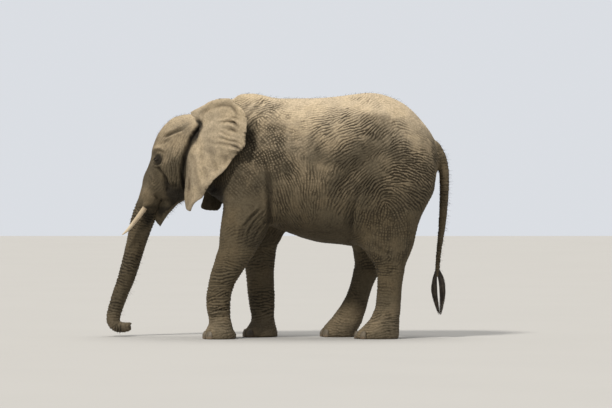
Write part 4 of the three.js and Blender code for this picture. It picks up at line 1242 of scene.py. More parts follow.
def mix_colours(tree, share, first, second, blend="MIX"):
    settings = {"data_type": "RGBA", "blend_type": blend}
    return add_node(tree, "ShaderNodeMix", settings, i0=share, i6=first, i7=second).outputs[2]


def math_node(tree, operation, first, second=0.0, clamp=False):
    settings = {"operation": operation, "use_clamp": clamp}
    return add_node(tree, "ShaderNodeMath", settings, i0=first, i1=second).outputs[0]


def scaled(tree, value, share, base):
    """A value times its share, on top of a base."""
    settings = {"operation": "MULTIPLY_ADD"}
    return add_node(tree, "ShaderNodeMath", settings, i0=value, i1=share, i2=base).outputs[0]


def ramp(tree, value, low, high):
    """Zero below low, one above high, smooth between."""
    settings = {"interpolation_type": "SMOOTHSTEP"}
    return add_node(tree, "ShaderNodeMapRange", settings, i0=value, i1=low, i2=high).outputs[0]


def place_group(tree, group, **values):
    return add_node(tree, "ShaderNodeGroup", {"node_tree": group}, **values)


def mottling_group():
    """Uneven patches of tone, of two sizes."""
    known = bpy.data.node_groups.get("mottling")
    if known:
        return known
    group, given, put = new_group(
        "mottling",
        [("Position", "NodeSocketVector", (0, 0, 0)), ("Patch Scale", "NodeSocketFloat", 3.0)],
        [("Patches", "NodeSocketFloat"), ("Specks", "NodeSocketFloat")],
    )
    place, scale = given.outputs[:2]
    broad = add_node(group, "ShaderNodeTexNoise", i2=scale, Detail=5.0, Roughness=0.6, Vector=place)
    scale = math_node(group, "MULTIPLY", scale, 14.0)
    fine = add_node(group, "ShaderNodeTexNoise", i2=scale, Detail=4.0, Roughness=0.7, Vector=place)
    group.links.new(ramp(group, broad.outputs[0], 0.36, 0.66), put.inputs[0])
    group.links.new(ramp(group, fine.outputs[0], 0.34, 0.68), put.inputs[1])
    return group


def crackle_group():
    """The fine crazing of dry hide or horn: plates with cracks between them."""
    known = bpy.data.node_groups.get("crackle")
    if known:
        return known
    group, given, put = new_group(
        "crackle",
        [("Position", "NodeSocketVector", (0, 0, 0)), ("Plate Scale", "NodeSocketFloat", 90.0)],
        [("Plates", "NodeSocketFloat"), ("Cracks", "NodeSocketFloat")],
    )
    place, scale = given.outputs[:2]
    warp = add_node(group, "ShaderNodeTexNoise", Scale=22.0, Detail=2.0, Vector=place)
    reach = (0.02, 0.02, 0.02)
    settings = {"operation": "MULTIPLY_ADD"}
    shift = add_node(group, "ShaderNodeVectorMath", settings, i0=warp.outputs[1], i1=reach, i2=place)
    shifted, settings = shift.outputs[0], {"feature": "DISTANCE_TO_EDGE"}
    cells = add_node(group, "ShaderNodeTexVoronoi", settings, Scale=scale, Vector=shifted)
    scale = math_node(group, "MULTIPLY", scale, 2.6)
    small = add_node(group, "ShaderNodeTexVoronoi", settings, Scale=scale, Vector=shifted)
    plates = ramp(group, cells.outputs[0], 0.0, 0.22)
    lesser = ramp(group, small.outputs[0], 0.0, 0.25)
    height = math_node(group, "ADD", plates, math_node(group, "MULTIPLY", lesser, 0.4))
    group.links.new(height, put.inputs[0])
    group.links.new(math_node(group, "SUBTRACT", 1.0, plates), put.inputs[1])
    return group


def new_material(name):
    material = bpy.data.materials.new(name)
    material.use_nodes = True
    tree = material.node_tree
    shader = tree.nodes["Principled BSDF"]
    position = tree.nodes.new("ShaderNodeTexCoord").outputs["Object"]
    return material, tree, shader, position


def attribute(tree, name):
    return add_node(tree, "ShaderNodeAttribute", {"attribute_name": name}).outputs["Fac"]


def rgba(colour, share=1.0):
    return (*(part * share for part in colour), 1.0)


def bumped(tree, shader, height, strength, distance):
    bump = add_node(tree, "ShaderNodeBump", Strength=strength, Distance=distance, Height=height)
    tree.links.new(bump.outputs[0], shader.inputs["Normal"])


def streaks(tree, position, scale, detail):
    """Noise drawn out into streaks, by a scale for each direction."""
    stretch = add_node(tree, "ShaderNodeMapping", Vector=position, Scale=scale)
    drawn = add_node(tree, "ShaderNodeTexNoise", Scale=1.0, Detail=detail, Vector=stretch.outputs[0])
    return drawn.outputs[0]


def hide_material(hide):
    """Dry, dusty hide: lighter where it is dusty and where a highlight is painted on the ears and the
    wrinkles' ridges; painted shade in furrows, hollows, slits and deep shade; darker on the legs and
    underneath.
    """
    material, tree, shader, position = new_material("hide")
    furrow, hollow = attribute(tree, "furrow"), attribute(tree, "hollow")
    dust_and_highlight, dark = attribute(tree, "dust_and_highlight"), attribute(tree, "dark")
    mottling = place_group(tree, mottling_group(), Position=position, Patch_Scale=3.2)
    crackle = place_group(tree, crackle_group(), Position=position, Plate_Scale=105.0)
    patches, specks = mottling.outputs
    plates, cracks = crackle.outputs
    # Lighter on the wrinkles' ridges and darker in their furrows: a painted highlight and painted shade.
    between = math_node(tree, "MULTIPLY", math_node(tree, "SUBTRACT", 0.35, furrow), 0.32)
    patchy = math_node(tree, "MULTIPLY", math_node(tree, "SUBTRACT", patches, 0.5), 0.4)
    # The pale share: dust and the ears' painted highlight, patches, and the painted light and shade of ridges
    # and furrows.
    dusty = math_node(tree, "ADD", math_node(tree, "ADD", dust_and_highlight, patchy), between, True)
    colour = mix_colours(tree, dusty, rgba(hide.hide_colour), rgba(hide.dust_and_highlight_colour))
    # The darker hide of the legs, trunk and lower body; on faces turned down, the cheeks and behind the ears
    # it is painted shade.
    colour = mix_colours(tree, dark, colour, rgba(hide.leg_colour))
    earthy = math_node(tree, "MULTIPLY", patches, 0.35)
    colour = mix_colours(tree, earthy, colour, rgba(hide.earth_colour), "SOFT_LIGHT")
    speckled = math_node(tree, "MULTIPLY", specks, 0.22)
    colour = mix_colours(tree, speckled, colour, rgba(hide.shade_and_dark_mark_colour))
    cracked = math_node(tree, "MULTIPLY", cracks, scaled(tree, specks, 0.2, 0.06))
    colour = mix_colours(tree, cracked, colour, rgba(hide.shade_and_dark_mark_colour))
    # Painted shade in the wrinkles' furrows, in hollows and crumples, in places of deep shade, and in the slit
    # before each ear.
    for mask, share, tone in (
        (ramp(tree, furrow, 0.1, 0.95), 0.82, 1.0),
        (hollow, 0.6, 1.0),
        (attribute(tree, "black"), 0.94, 0.5),
        (attribute(tree, "pocket"), 0.96, 0.4),
    ):
        darkened = math_node(tree, "MULTIPLY", mask, share)
        colour = mix_colours(tree, darkened, colour, rgba(hide.shade_and_dark_mark_colour, tone))
    tree.links.new(colour, shader.inputs["Base Color"])
    tree.links.new(scaled(tree, specks, 0.16, 0.74), shader.inputs["Roughness"])
    shader.inputs["Specular IOR Level"].default_value = 0.3
    grain = math_node(tree, "ADD", plates, math_node(tree, "MULTIPLY", specks, 0.5))
    bumped(tree, shader, grain, 0.55, 0.0022)
    return material


def ivory_material(details):
    """Ivory: warm, faintly grained along its length, stained at the root and worn at the tip."""
    material, tree, shader, position = new_material("ivory")
    along = attribute(tree, "along")
    mottling = place_group(tree, mottling_group(), Position=position, Patch_Scale=9.0)
    stain = math_node(tree, "MULTIPLY", ramp(tree, along, 0.5, 0.02), 0.75)
    colour = mix_colours(tree, stain, rgba(details.ivory_colour), rgba(details.stain_colour))
    smudge = math_node(tree, "MULTIPLY", mottling.outputs[0], 0.35)
    colour = mix_colours(tree, smudge, colour, rgba(details.stain_colour, 1.3))
    lines = ramp(tree, streaks(tree, position, (55.0, 160.0, 12.0), 4.0), 0.42, 0.62)
    colour = mix_colours(tree, math_node(tree, "MULTIPLY", lines, 0.18), colour, rgba(details.stain_colour))
    tree.links.new(colour, shader.inputs["Base Color"])
    tree.links.new(scaled(tree, mottling.outputs[1], 0.18, 0.3), shader.inputs["Roughness"])
    bumped(tree, shader, lines, 0.25, 0.001)
    return material


def nail_material(details):
    """Horn of a toenail: ridged across, chipped and dusty."""
    material, tree, shader, position = new_material("toenail")
    mottling = place_group(tree, mottling_group(), Position=position, Patch_Scale=14.0)
    crackle = place_group(tree, crackle_group(), Position=position, Plate_Scale=120.0)
    horn = rgba(details.nail_colour)
    colour = mix_colours(tree, mottling.outputs[0], horn, rgba(details.nail_colour, 0.62))
    worn = math_node(tree, "MULTIPLY", crackle.outputs[1], 0.4)
    colour = mix_colours(tree, worn, colour, rgba(details.nail_colour, 0.4))
    split = add_node(tree, "ShaderNodeSeparateXYZ", Vector=position)
    low = math_node(tree, "MULTIPLY", ramp(tree, split.outputs[2], 0.035, 0.004), 0.7)
    colour = mix_colours(tree, low, colour, rgba(details.stain_colour, 0.8))
    tree.links.new(colour, shader.inputs["Base Color"])
    tree.links.new(scaled(tree, mottling.outputs[1], 0.2, 0.5), shader.inputs["Roughness"])
    ridges = streaks(tree, position, (14.0, 14.0, 190.0), 3.0)
    height = math_node(tree, "ADD", ridges, math_node(tree, "MULTIPLY", crackle.outputs[0], 0.3))
    bumped(tree, shader, height, 0.5, 0.0015)
    return material


EYE_RIM, EYE_WHITE, PUPIL = (0.025, 0.018, 0.014, 1), (0.16, 0.12, 0.095, 1), (0.003, 0.003, 0.003, 1)


def eye_material(details):
    """A wet eye: black pupil, brown iris with fine spokes, dark white, under a clear coat."""
    material, tree, shader, position = new_material("eye")
    radial = attribute(tree, "radial")
    spokes = add_node(tree, "ShaderNodeTexNoise", Scale=420.0, Detail=3.0, Vector=position)
    spoke = ramp(tree, spokes.outputs[0], 0.35, 0.65)
    iris = mix_colours(tree, spoke, rgba(details.iris_colour), rgba(details.iris_colour, 0.35))
    white = mix_colours(tree, ramp(tree, radial, 13.0, 19.0), EYE_RIM, EYE_WHITE)
    colour = mix_colours(tree, ramp(tree, radial, 11.2, 12.6), iris, white)
    colour = mix_colours(tree, ramp(tree, radial, 5.6, 4.6), colour, PUPIL)
    tree.links.new(colour, shader.inputs["Base Color"])
    shader.inputs["Roughness"].default_value = 0.22
    shader.inputs["Coat Weight"].default_value = 1.0
    shader.inputs["Coat Roughness"].default_value = 0.03
    return material


def hair_material(hair):
    """Coarse hair, paler and dustier towards the ends of some strands."""
    material, tree, shader, position = new_material("hair")
    tone, along = attribute(tree, "tone"), attribute(tree, "along")
    mottling = place_group(tree, mottling_group(), Position=position, Patch_Scale=20.0)
    share = math_node(tree, "MULTIPLY", tone, math_node(tree, "ADD", along, 0.25))
    share = math_node(tree, "MULTIPLY", share, math_node(tree, "ADD", mottling.outputs[0], 0.4), True)
    colour = mix_colours(tree, share, rgba(hair.colour), rgba(hair.dusty_colour))
    tree.links.new(colour, shader.inputs["Base Color"])
    tree.links.new(scaled(tree, tone, 0.2, 0.45), shader.inputs["Roughness"])
    return material


# ------------------------------------------------------------------ eyes, tusks and toenails


class MESH_OT_elephant_eyes(bpy.types.Operator):
    """Model both eyeballs, each with a swelling cornea that faces out between its lids"""

    bl_idname = "mesh.elephant_eyes"
    bl_label = "Eyes"

    def execute(self, context):
        details = context.scene.elephant_details
        radius = EYE["radius"] / 1000
        material = eye_material(details)
        for side, hand in ((-1, "left"), (1, "right")):
            middle, out, length, _ = eye_axes(side)
            bpy.ops.object.select_all(action="DESELECT")
            bpy.ops.mesh.primitive_uv_sphere_add(segments=48, ring_count=40, radius=radius)
            eye = bpy.context.object
            eye.name = eye.data.name = f"eyeball_{hand}"
            mesh = eye.data
            bpy.ops.object.mode_set(mode="EDIT")
            bpy.ops.mesh.select_all(action="DESELECT")
            bpy.ops.object.mode_set(mode="OBJECT")
            for vertex in mesh.vertices:
                vertex.select = vertex.co.z < -0.3 * radius
            bpy.ops.object.mode_set(mode="EDIT")
            bpy.ops.transform.resize(value=(0.9, 0.9, 0.75), center_override=(0, 0, 0))
            bpy.ops.object.mode_set(mode="OBJECT")
            points = read(mesh.vertices, "co", 3)
            away = np.hypot(points[:, 0], points[:, 1]) * 1000
            front = points[:, 2] > 0
            set_value(mesh, "radial", np.where(front, away, 24))
            points[:, 2] += np.where(front, 0.0012 * smoothstep(13, 6, away), 0)
            set_points(mesh, points)
            turn = Matrix((Vector(length), Vector(np.cross(out, length)), Vector(out))).transposed()
            mesh.transform(turn.to_4x4())
            mesh.transform(Matrix.Translation(Plan.metres(middle)))
            if turn.determinant() < 0:
                mesh.flip_normals()
            select_only(eye)
            bpy.ops.object.shade_smooth()
            mesh.materials.append(material)
            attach(eye, "root")
            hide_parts(f"eye_{hand}")
        return {"FINISHED"}


class MESH_OT_elephant_tusks(bpy.types.Operator):
    """Model both tusks as tapering tubes along their curve, rounded at the worn tip"""

    bl_idname = "mesh.elephant_tusks"
    bl_label = "Tusks"

    def execute(self, context):
        material = ivory_material(context.scene.elephant_details)
        for side, hand in ((-1, "left"), (1, "right")):
            rows = curve_through([(*head_point(f, -side * l, z), r) for f, l, z, r in TUSK], 6)
            bpy.ops.object.select_all(action="DESELECT")
            bpy.ops.curve.primitive_nurbs_path_add()
            path = bpy.context.object
            path.data.splines.clear()
            spline = path.data.splines.new("POLY")
            spline.points.add(len(rows) - 1)
            for knot, row in zip(spline.points, rows):
                knot.co = (*Plan.metres(row[:3]), 1)
                knot.radius = row[3] / 1000
            path.data.bevel_depth = 1.0
            path.data.bevel_resolution = 6
            path.data.use_fill_caps = True
            bpy.ops.object.convert(target="MESH")
            tusk = bpy.context.object
            tusk.name = tusk.data.name = f"ivory_{hand}"
            mesh = tusk.data
            with all_in_edit_mode():
                bpy.ops.mesh.remove_doubles(threshold=SAME_PLACE)
                bpy.ops.mesh.normals_make_consistent(inside=False)
            apply_modifier(tusk, "SUBSURF", levels=1, render_levels=1)
            points = points_of(mesh)
            _, along = nearest_on_path(points, rows[:, :3])
            along /= along.max()
            set_value(mesh, "along", along)
            # shallow dents, and a flat worn on the underside of the tip
            normals = normals_of(mesh)
            dent = 0.7 * noise(points, 60, 31) + 0.35 * noise(points, 18, 32)
            dent -= 1.6 * smoothstep(0.86, 0.96, along) * smoothstep(0.1, 0.9, -normals[:, 2])
            points += normals * dent[:, None]
            set_points(mesh, Plan.metres(points))
            select_only(tusk)
            bpy.ops.object.shade_smooth()
            mesh.materials.clear()
            mesh.materials.append(material)
            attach(tusk, "root")
            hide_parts(f"tusk_{hand}")
        return {"FINISHED"}


class MESH_OT_elephant_toenails(bpy.types.Operator):
    """Model one toenail, a thick arched plate worn flat below, and set a copy at every toe"""

    bl_idname = "mesh.elephant_toenails"
    bl_label = "Toenails"

    def execute(self, context):
        details = context.scene.elephant_details
        material = nail_material(details)
        pattern = self.plate(details)
        for name, (out, across, centre) in nail_places().items():
            nail = bpy.data.objects.new(f"horn_{name}", pattern.data.copy())
            bpy.context.collection.objects.link(nail)
            mesh = nail.data
            points = read(mesh.vertices, "co", 3)
            place = centre / 1000 + Plan.shift
            lean = out * (points[:, 0:1] - 0.35 * points[:, 2:3] * (points[:, 2:3] > 0))
            moved = place + lean + across * points[:, 1:2]
            moved[:, 2] = place[2] + points[:, 2]
            moved[:, 2] = np.maximum(moved[:, 2], 0.0035)
            set_points(mesh, moved)
            select_only(nail)
            bpy.ops.object.shade_smooth()
            mesh.materials.append(material)
            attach(nail, "root")
            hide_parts(name)
        bpy.data.objects.remove(pattern)
        return {"FINISHED"}

    def plate(self, details):
        """The pattern: outer face at x = 0, arched across and narrowing to a round top."""
        width, height, depth = details.nail_width, details.nail_height, details.nail_depth
        bpy.ops.object.select_all(action="DESELECT")
        bpy.ops.mesh.primitive_cube_add(size=1, location=(-depth / 2, 0, 0), scale=(depth, width, height))
        plate = bpy.context.object
        bpy.ops.object.transform_apply(location=True, rotation=True, scale=True)
        mesh = plate.data
        with all_in_edit_mode():
            bpy.ops.mesh.subdivide(number_cuts=3)
        for low, share in ((-0.05, 0.97), (0.2, 0.86), (0.45, 0.55)):
            bpy.ops.object.mode_set(mode="EDIT")
            bpy.ops.mesh.select_all(action="DESELECT")
            bpy.ops.mesh.select_mode(type="VERT")
            bpy.ops.object.mode_set(mode="OBJECT")
            for vertex in mesh.vertices:
                vertex.select = vertex.co.z > low * height
            bpy.ops.object.mode_set(mode="EDIT")
            bpy.ops.transform.resize(value=(1, share, 1), center_override=(0, 0, 0))
            bpy.ops.object.mode_set(mode="OBJECT")
        points = read(mesh.vertices, "co", 3)
        arch = (points[:, 1] / (width / 2)) ** 2
        points[:, 0] -= arch * depth * 0.55 + np.maximum(points[:, 2] / height, 0) ** 2 * depth * 0.9
        set_points(mesh, points)
        apply_modifier(plate, "SUBSURF", levels=2, render_levels=2)
        with all_in_edit_mode():
            bpy.ops.mesh.normals_make_consistent(inside=False)
        return plate


# ------------------------------------------------------------------ hair


def strand_mesh(name, paths, radii, patches, tones):
    """One mesh of three-sided tapering strands; paths has one row of points for each strand."""
    count, knots, _ = paths.shape
    heading = np.gradient(paths, axis=1)
    heading /= np.maximum(np.linalg.norm(heading, axis=2, keepdims=True), 1e-9)
    aside = np.cross(heading, np.array((0.31, 0.87, 0.38)))
    aside /= np.maximum(np.linalg.norm(aside, axis=2, keepdims=True), 1e-9)
    over = np.cross(heading, aside)
    share = np.linspace(0, 1, knots)
    width = radii[:, None] * (1 - share**1.6)[None, :] + radii[:, None] * 0.06
    corners = []
    for k in range(3):
        turn = 2 * math.pi * k / 3
        corners.append(paths + width[..., None] * (math.cos(turn) * aside + math.sin(turn) * over))
    points = np.stack(corners, axis=2).reshape(-1, 3)
    base = (np.arange(count) * knots * 3)[:, None]
    ring = np.arange(knots - 1)[:, None, None] * 3
    k = np.arange(3)[None, :, None]
    quad = np.concatenate((ring + k, ring + (k + 1) % 3, ring + 3 + (k + 1) % 3, ring + 3 + k), axis=2)
    quads = (quad.reshape(1, -1, 4) + base[:, :, None]).reshape(-1, 4)
    ends = np.array([[2, 1, 0], [knots * 3 - 3, knots * 3 - 2, knots * 3 - 1]])
    caps = (ends[None] + base[:, :, None]).reshape(-1, 3)
    mesh = bpy.data.meshes.new(name)
    mesh.from_pydata(points.tolist(), [], quads.tolist() + caps.tolist())
    mesh.update()
    set_value(mesh, "along", np.tile(np.repeat(share, 3), count))
    set_value(mesh, "tone", np.repeat(tones, knots * 3))
    layer = mesh.uv_layers.new(name="OFBake")
    corner = read(mesh.loops, "vertex_index", 1, np.int32)
    strand, within = corner // (knots * 3), corner % (knots * 3)
    shift = np.stack((within // 3 / (knots - 1), within % 3 / 2), axis=1) * 0.003
    layer.data.foreach_set("uv", (patches[strand] + shift).astype(np.float32).ravel())
    piece = bpy.data.objects.new(name, mesh)
    bpy.context.collection.objects.link(piece)
    return piece


def bent_paths(roots, middles, ends, knots):
    """Smooth paths from each root to its end by way of its middle."""
    t = np.linspace(0, 1, knots)[None, :, None]
    return roots[:, None] * (1 - t) ** 2 + 2 * middles[:, None] * t * (1 - t) + ends[:, None] * t**2


def unwrapped(points):
    """A root's place on the skin laid out flat: right side and left side, each rolled open."""
    x, y, z = points.T
    u = (x + 1800) / 3600 * 0.46 + 0.02 + np.where(y > 0, 0.5, 0)
    v = (z / 2500) * 0.8 + 0.1 + np.clip(np.abs(y) / 600, 0, 1) * 0.08
    return np.stack((np.clip(u, 0, 0.99), np.clip(v, 0, 0.99)), axis=1)


# The tuft: the tail's end, the top and length of the band of roots, the height of the shortest
# hair's end, how far below it the longest ends, and the points along a hair.
TUFT_X = 1594
TUFT_TOP, TUFT_BAND = 700, 95
TUFT_SHORT_END, TUFT_DROP = 430, 205
TUFT_KNOTS = 9


class MESH_OT_elephant_tail_tuft(bpy.types.Operator):
    """Model the tail's tuft: coarse hairs in two rows that bow apart and meet at the end"""

    bl_idname = "mesh.elephant_tail_tuft"
    bl_label = "Tail tuft"

    def execute(self, context):
        hair = context.scene.elephant_hair
        chance = np.random.default_rng(7)
        count = hair.tuft_strands
        row = chance.uniform(-1, 1, count)
        row = np.sign(row) * np.abs(row) ** 0.25
        down = chance.random(count) ** 0.8
        root_z = TUFT_TOP - TUFT_BAND * down
        spread = chance.normal(0, 1, count)
        roots = np.stack((TUFT_X + row * 13, 11 * spread.clip(-1.2, 1.2), root_z), axis=1)
        fullness = chance.random(count)
        bow = row * np.where(row > 0, 104 + 24 * fullness, 14 + 82 * fullness)
        middle_z = root_z - 120 - 80 * chance.random(count)
        middles = np.stack((TUFT_X - 4 + bow, 34 * spread.clip(-1.5, 1.5), middle_z), axis=1)
        reach = chance.random(count) ** 0.75
        end_z = TUFT_SHORT_END - TUFT_DROP * reach
        end_x = TUFT_X + 8 + 17 * reach + row * (50 * (1 - reach) + 5)
        end_x = end_x + 6 * chance.normal(0, 1, count).clip(-2, 2)
        ends = np.stack((end_x, 11 * chance.normal(0, 1, count).clip(-1.8, 1.8), end_z), axis=1)
        paths = Plan.metres(bent_paths(roots, middles, ends, TUFT_KNOTS))
        radii = hair.thickness * (0.6 + 0.5 * chance.random(count))
        patches = unwrapped(roots)
        tuft = strand_mesh("tuft_hair", paths, radii, patches, chance.random(count))
        select_only(tuft)
        bpy.ops.object.shade_smooth()
        tuft.data.materials.append(hair_material(hair))
        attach(tuft, "root")
        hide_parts("tail_tuft")
        return {"FINISHED"}


class MESH_OT_elephant_bristles(bpy.types.Operator):
    """Model the sparse bristles of the crown, back, chin, trunk and tail, and the eyelashes"""

    bl_idname = "mesh.elephant_bristles"
    bl_label = "Bristles and lashes"

    def execute(self, context):
        hair = context.scene.elephant_hair
        chance = np.random.default_rng(19)
        mesh = bpy.data.objects["elephant_skin"].data
        points = points_of(mesh)
        normals = normals_of(mesh)
        where = Regions(points)
        z = points[:, 2]
        crown = where.head * smoothstep(1950, 2150, z) * smoothstep(0.1, 0.6, normals[:, 2])
        under_chin = (np.abs(where.left) < 130) * (where.forward < 90)
        chin = where.head * smoothstep(1480, 1380, z) * under_chin
        ridge = smoothstep(0.75, 0.95, normals[:, 2]) * smoothstep(2200, 2350, z)
        ridge = ridge * gauss(points[:, 1] / 140)
        growth = 1.0 * crown + 1.5 * chin + 0.35 * ridge + 0.1 * where.trunk + 0.8 * where.tail
        growth *= (1 - where.ear) * self.room(mesh, points)
        chosen = chance.choice(len(points), hair.bristles, replace=False, p=growth / growth.sum())
        roots, out = points[chosen], normals[chosen]
        lean = np.where(where.head[chosen] > 0.5, 0.35, 0.7)
        drift = np.array((0.75, 0, -0.35)) * lean[:, None]
        drift = drift + 0.2 * chance.normal(0, 1, (len(chosen), 3))
        length = (18 + 26 * chance.random(len(chosen)))[:, None]
        middles = roots + out * length * 0.5
        ends = roots + (out * 0.62 + drift) * length
        paths = bent_paths(roots - out * 2, middles, ends, 4)
        paths[..., 2] = np.maximum(paths[..., 2], 3)
        lashes, lash_roots = self.lashes(chance, hair.lashes)
        for name, routes, starts, thick in (
            ("bristles", paths, roots, hair.thickness * 0.42),
            ("eyelashes", lashes, lash_roots, hair.thickness * 0.4),
        ):
            count = len(routes)
            radii = np.full(count, thick) * (0.7 + 0.5 * chance.random(count))
            tones = chance.random(count)
            piece = strand_mesh(name, Plan.metres(routes), radii, unwrapped(starts), tones)
            piece.data.materials.append(bpy.data.materials.get("hair") or hair_material(hair))
            select_only(piece)
            bpy.ops.object.shade_smooth()
            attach(piece, "root")
        return {"FINISHED"}

    def room(self, mesh, points):
        """The area of skin round each vertex."""
        corners = read(mesh.loops, "vertex_index", 1, np.int32).reshape(-1, 3)
        a, b, c = (points[corners[:, k]] for k in range(3))
        area = np.linalg.norm(np.cross(b - a, c - a), axis=1)
        return np.bincount(corners.ravel(), np.repeat(area, 3), len(points))

    def lashes(self, chance, count):
        """Routes of the lashes of both upper lids, and their roots."""
        routes, starts = [], []
        outline = lid_outline()
        upper = outline[outline[:, 1] > 2]
        upper = upper[np.argsort(upper[:, 0])]
        for side in (-1, 1):
            middle, out, length, up = eye_axes(side)
            a = chance.uniform(-19, 19, count)
            b = np.interp(a, upper[:, 0], upper[:, 1]) + chance.uniform(0.5, 3.5, count)
            ball = np.sqrt(EYE["radius"] ** 2 - a**2 - b**2)
            roots = middle + a[:, None] * length + b[:, None] * up + (ball + 2)[:, None] * out
            long = chance.uniform(32, 52, count)[:, None]
            fan = (a / 26)[:, None] * length
            middles = roots + (out * 0.85 + fan * 0.5 - up * 0.05) * long * 0.55
            ends = roots + (out * 0.62 + fan * 0.7 - up * 0.62) * long
            routes.append(bent_paths(roots, middles, ends, 6))
            starts.append(roots)
        return np.concatenate(routes), np.concatenate(starts)


# ------------------------------------------------------------------ the stage


# Lamps: name, direction, width in degrees, share of the key strength, colour.
LAMPS = [
    ("key", (-3.6, -5.2, 7.9), 9, 1.15, (1, 0.955, 0.88)),
    ("top", (1, 1.5, 12), 50, 0.9, (1, 0.97, 0.92)),
]
# The camera looks level along y: how far along the body it stands, its height, and its aim's.
CAMERA_X, CAMERA_Z, AIM_Z = 0.292, 1.7, 1.34
SENSOR_WIDTH, FAR_LIMIT = 36, 300


class SCENE_OT_elephant_stage(bpy.types.Operator):
    """Set out the plain floor, the soft lights and the camera"""

    bl_idname = "scene.elephant_stage"
    bl_label = "Stage"

    def execute(self, context):
        stage = context.scene.elephant_stage
        self.floor(stage)
        self.camera(stage)
        world = bpy.data.worlds.new("studio")
        context.scene.world = world
        world.use_nodes = True
        tree = world.node_tree
        background = tree.nodes["Background"]
        background.inputs["Color"].default_value = rgba(stage.sky_colour)
        seen = tree.nodes.new("ShaderNodeLightPath").outputs["Is Camera Ray"]
        extra = stage.backdrop_strength - stage.sky_strength
        strength = scaled(tree, seen, extra, stage.sky_strength)
        tree.links.new(strength, background.inputs["Strength"])
        for name, place, width, share, colour in LAMPS:
            self.light(name, place, width, share * stage.key_strength, colour)
        context.scene.view_settings.view_transform = "Standard"
        return {"FINISHED"}

    def floor(self, stage):
        bpy.ops.object.select_all(action="DESELECT")
        bpy.ops.mesh.primitive_plane_add(size=stage.floor_size)
        floor = bpy.context.object
        floor.name = floor.data.name = "floor"
        material, tree, shader, position = new_material("floor")
        mottling = place_group(tree, mottling_group(), Position=position, Patch_Scale=0.5)
        share = math_node(tree, "MULTIPLY", mottling.outputs[0], 0.25)
        colour = mix_colours(tree, share, rgba(stage.floor_colour), rgba(stage.floor_colour, 0.94))
        tree.links.new(colour, shader.inputs["Base Color"])
        shader.inputs["Roughness"].default_value = 0.85
        shader.inputs["Specular IOR Level"].default_value = 0.2
        floor.data.materials.append(material)

    def camera(self, stage):
        lens = bpy.data.cameras.new("camera")
        lens.lens = stage.lens
        lens.sensor_width = SENSOR_WIDTH
        lens.clip_end = FAR_LIMIT
        camera = bpy.data.objects.new("camera", lens)
        bpy.context.scene.collection.objects.link(camera)
        camera.location = (CAMERA_X, -stage.distance, CAMERA_Z)
        aim = Vector((CAMERA_X, 0, AIM_Z)) - camera.location
        camera.rotation_euler = aim.to_track_quat("-Z", "Y").to_euler()
        bpy.context.scene.camera = camera

    def light(self, name, place, width, strength, colour):
        """A lamp far off in the direction of `place`, `width` degrees across."""
        light = bpy.data.lights.new(name, "SUN")
        light.angle, light.energy, light.color = math.radians(width), strength, colour
        lamp = bpy.data.objects.new(name, light)
        bpy.context.scene.collection.objects.link(lamp)
        lamp.location = place
        lamp.rotation_euler = (-Vector(place)).to_track_quat("-Z", "Y").to_euler()


# ------------------------------------------------------------------ settings, panel and start


def length_setting(name, description, default):
    return FloatProperty(name=name, description=description, default=default, min=0.0001, unit="LENGTH")


def colour_setting(name, description, default):
    return FloatVectorProperty(
        name=name, description=description, default=default, size=3, min=0, max=1, subtype="COLOR"
    )


def count_setting(name, description, default, least):
    return IntProperty(name=name, description=description, default=default, min=least)


def strength_setting(name, description, default):
    return FloatProperty(name=name, description=description, default=default, min=0)


class ElephantHide(bpy.types.PropertyGroup):
    grain: length_setting("Grain", "Size of the mesh cells the skin is modelled with", 0.0095)
    wrinkle_spacing: length_setting("Wrinkle spacing", "Distance from one wrinkle to the next", 0.031)
    wrinkle_depth: length_setting("Wrinkle depth", "Depth of the deepest common wrinkles", 0.0072)
    triangles: count_setting("Triangles", "Allowance of triangles for the skin", 196000, 1000)
    hide_colour: colour_setting("Hide", "Colour of the bare hide of the sides", (0.122, 0.098, 0.062))
    # Colour of dust, also of the painted highlight on the ears and the wrinkles' ridges.
    dust_and_highlight_colour: colour_setting("Dust", "Colour where dust lies, on the back and ears", (0.65, 0.53, 0.37))
    # The darker hide's colour; on faces turned down and behind the ears it stands for painted shade.
    leg_colour: colour_setting("Legs", "Colour of the legs, trunk and underside", (0.138, 0.109, 0.066))
    earth_colour: colour_setting("Earth", "Tint of the patches of dry earth", (0.55, 0.47, 0.35))
    # The painted shade of furrows, hollows, slits and deep shade, and the colour of specks and cracks.
    shade_and_dark_mark_colour: colour_setting("Furrows", "Colour deep in the wrinkles", (0.028, 0.021, 0.0115))


class ElephantDetails(bpy.types.PropertyGroup):
    nail_width: length_setting("Toenail width", "Width of one toenail", 0.082)
    nail_height: length_setting("Toenail height", "Height of one toenail", 0.074)
    nail_depth: length_setting("Toenail depth", "Thickness of one toenail", 0.022)
    nail_colour: colour_setting("Toenails", "Colour of the toenails", (0.2, 0.163, 0.115))
    ivory_colour: colour_setting("Ivory", "Colour of the clean ivory", (0.74, 0.62, 0.44))
    stain_colour: colour_setting("Stain", "Colour of the stain at a tusk's root", (0.27, 0.18, 0.105))
    iris_colour: colour_setting("Iris", "Colour of the iris", (0.15, 0.07, 0.028))


class ElephantHair(bpy.types.PropertyGroup):
    tuft_strands: count_setting("Tuft hairs", "Number of hairs in the tail's tuft", 1500, 10)
    bristles: count_setting("Bristles", "Number of bristles on the hide", 1500, 10)
    lashes: count_setting("Lashes", "Number of lashes of each eye", 46, 2)
    thickness: length_setting("Hair thickness", "Radius of a tuft hair at its root", 0.0019)
    colour: colour_setting("Hair", "Colour of the hair", (0.022, 0.018, 0.015))
    dusty_colour: colour_setting("Dusty hair", "Colour of the dusty ends of some hairs", (0.13, 0.105, 0.075))


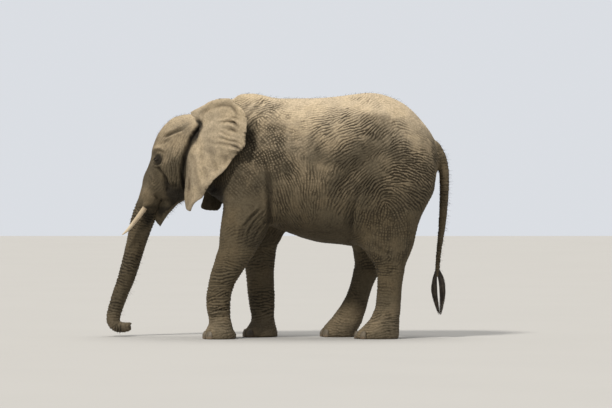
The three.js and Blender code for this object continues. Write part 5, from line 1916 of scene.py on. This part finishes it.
class ElephantStage(bpy.types.PropertyGroup):
    distance: length_setting("Distance", "Distance of the camera from the animal", 40.0)
    lens: FloatProperty(
        name="Lens", description="Focal length of the camera", default=235.0, min=10, subtype="DISTANCE_CAMERA"
    )
    floor_size: length_setting("Floor", "Length of the floor's sides", 120.0)
    floor_colour: colour_setting("Floor colour", "Colour of the floor", (0.47, 0.462, 0.445))
    sky_colour: colour_setting("Backdrop", "Colour of the light all round", (0.86, 0.89, 0.94))
    sky_strength: strength_setting("Soft light", "Strength of the light all round", 0.28)
    backdrop_strength: strength_setting(
        "Backdrop light", "Brightness of the backdrop that the camera sees", 0.82
    )
    key_strength: strength_setting("Key light", "Strength of the main lamps", 2.2)


SETTINGS = {
    "elephant_hide": ElephantHide,
    "elephant_details": ElephantDetails,
    "elephant_hair": ElephantHair,
    "elephant_stage": ElephantStage,
}
PIECES = [
    MESH_OT_elephant_skin,
    MESH_OT_elephant_eyes,
    MESH_OT_elephant_tusks,
    MESH_OT_elephant_toenails,
    MESH_OT_elephant_tail_tuft,
    MESH_OT_elephant_bristles,
    SCENE_OT_elephant_stage,
]


class VIEW3D_PT_elephant(bpy.types.Panel):
    """Lists the animal's pieces and their settings"""

    bl_idname = "VIEW3D_PT_elephant"
    bl_label = "Elephant"
    bl_space_type = "VIEW_3D"
    bl_region_type = "UI"
    bl_category = "Elephant"

    def draw(self, context):
        layout = self.layout
        for name, group in SETTINGS.items():
            settings = getattr(context.scene, name)
            box = layout.box()
            for field in group.__annotations__:
                box.prop(settings, field)
        for piece in PIECES:
            layout.operator(piece.bl_idname)


CLASSES = [*SETTINGS.values(), *PIECES, VIEW3D_PT_elephant]


def register():
    for kind in CLASSES:
        bpy.utils.register_class(kind)
    for name, group in SETTINGS.items():
        setattr(bpy.types.Scene, name, PointerProperty(type=group))


def unregister():
    for name in SETTINGS:
        delattr(bpy.types.Scene, name)
    for kind in reversed(CLASSES):
        bpy.utils.unregister_class(kind)


def main():
    register()
    bpy.ops.scene.elephant_stage()
    bpy.ops.mesh.elephant_skin()
    bpy.ops.mesh.elephant_eyes()
    bpy.ops.mesh.elephant_tusks()
    bpy.ops.mesh.elephant_toenails()
    bpy.ops.mesh.elephant_tail_tuft()
    bpy.ops.mesh.elephant_bristles()


if __name__ == "__main__":
    main()
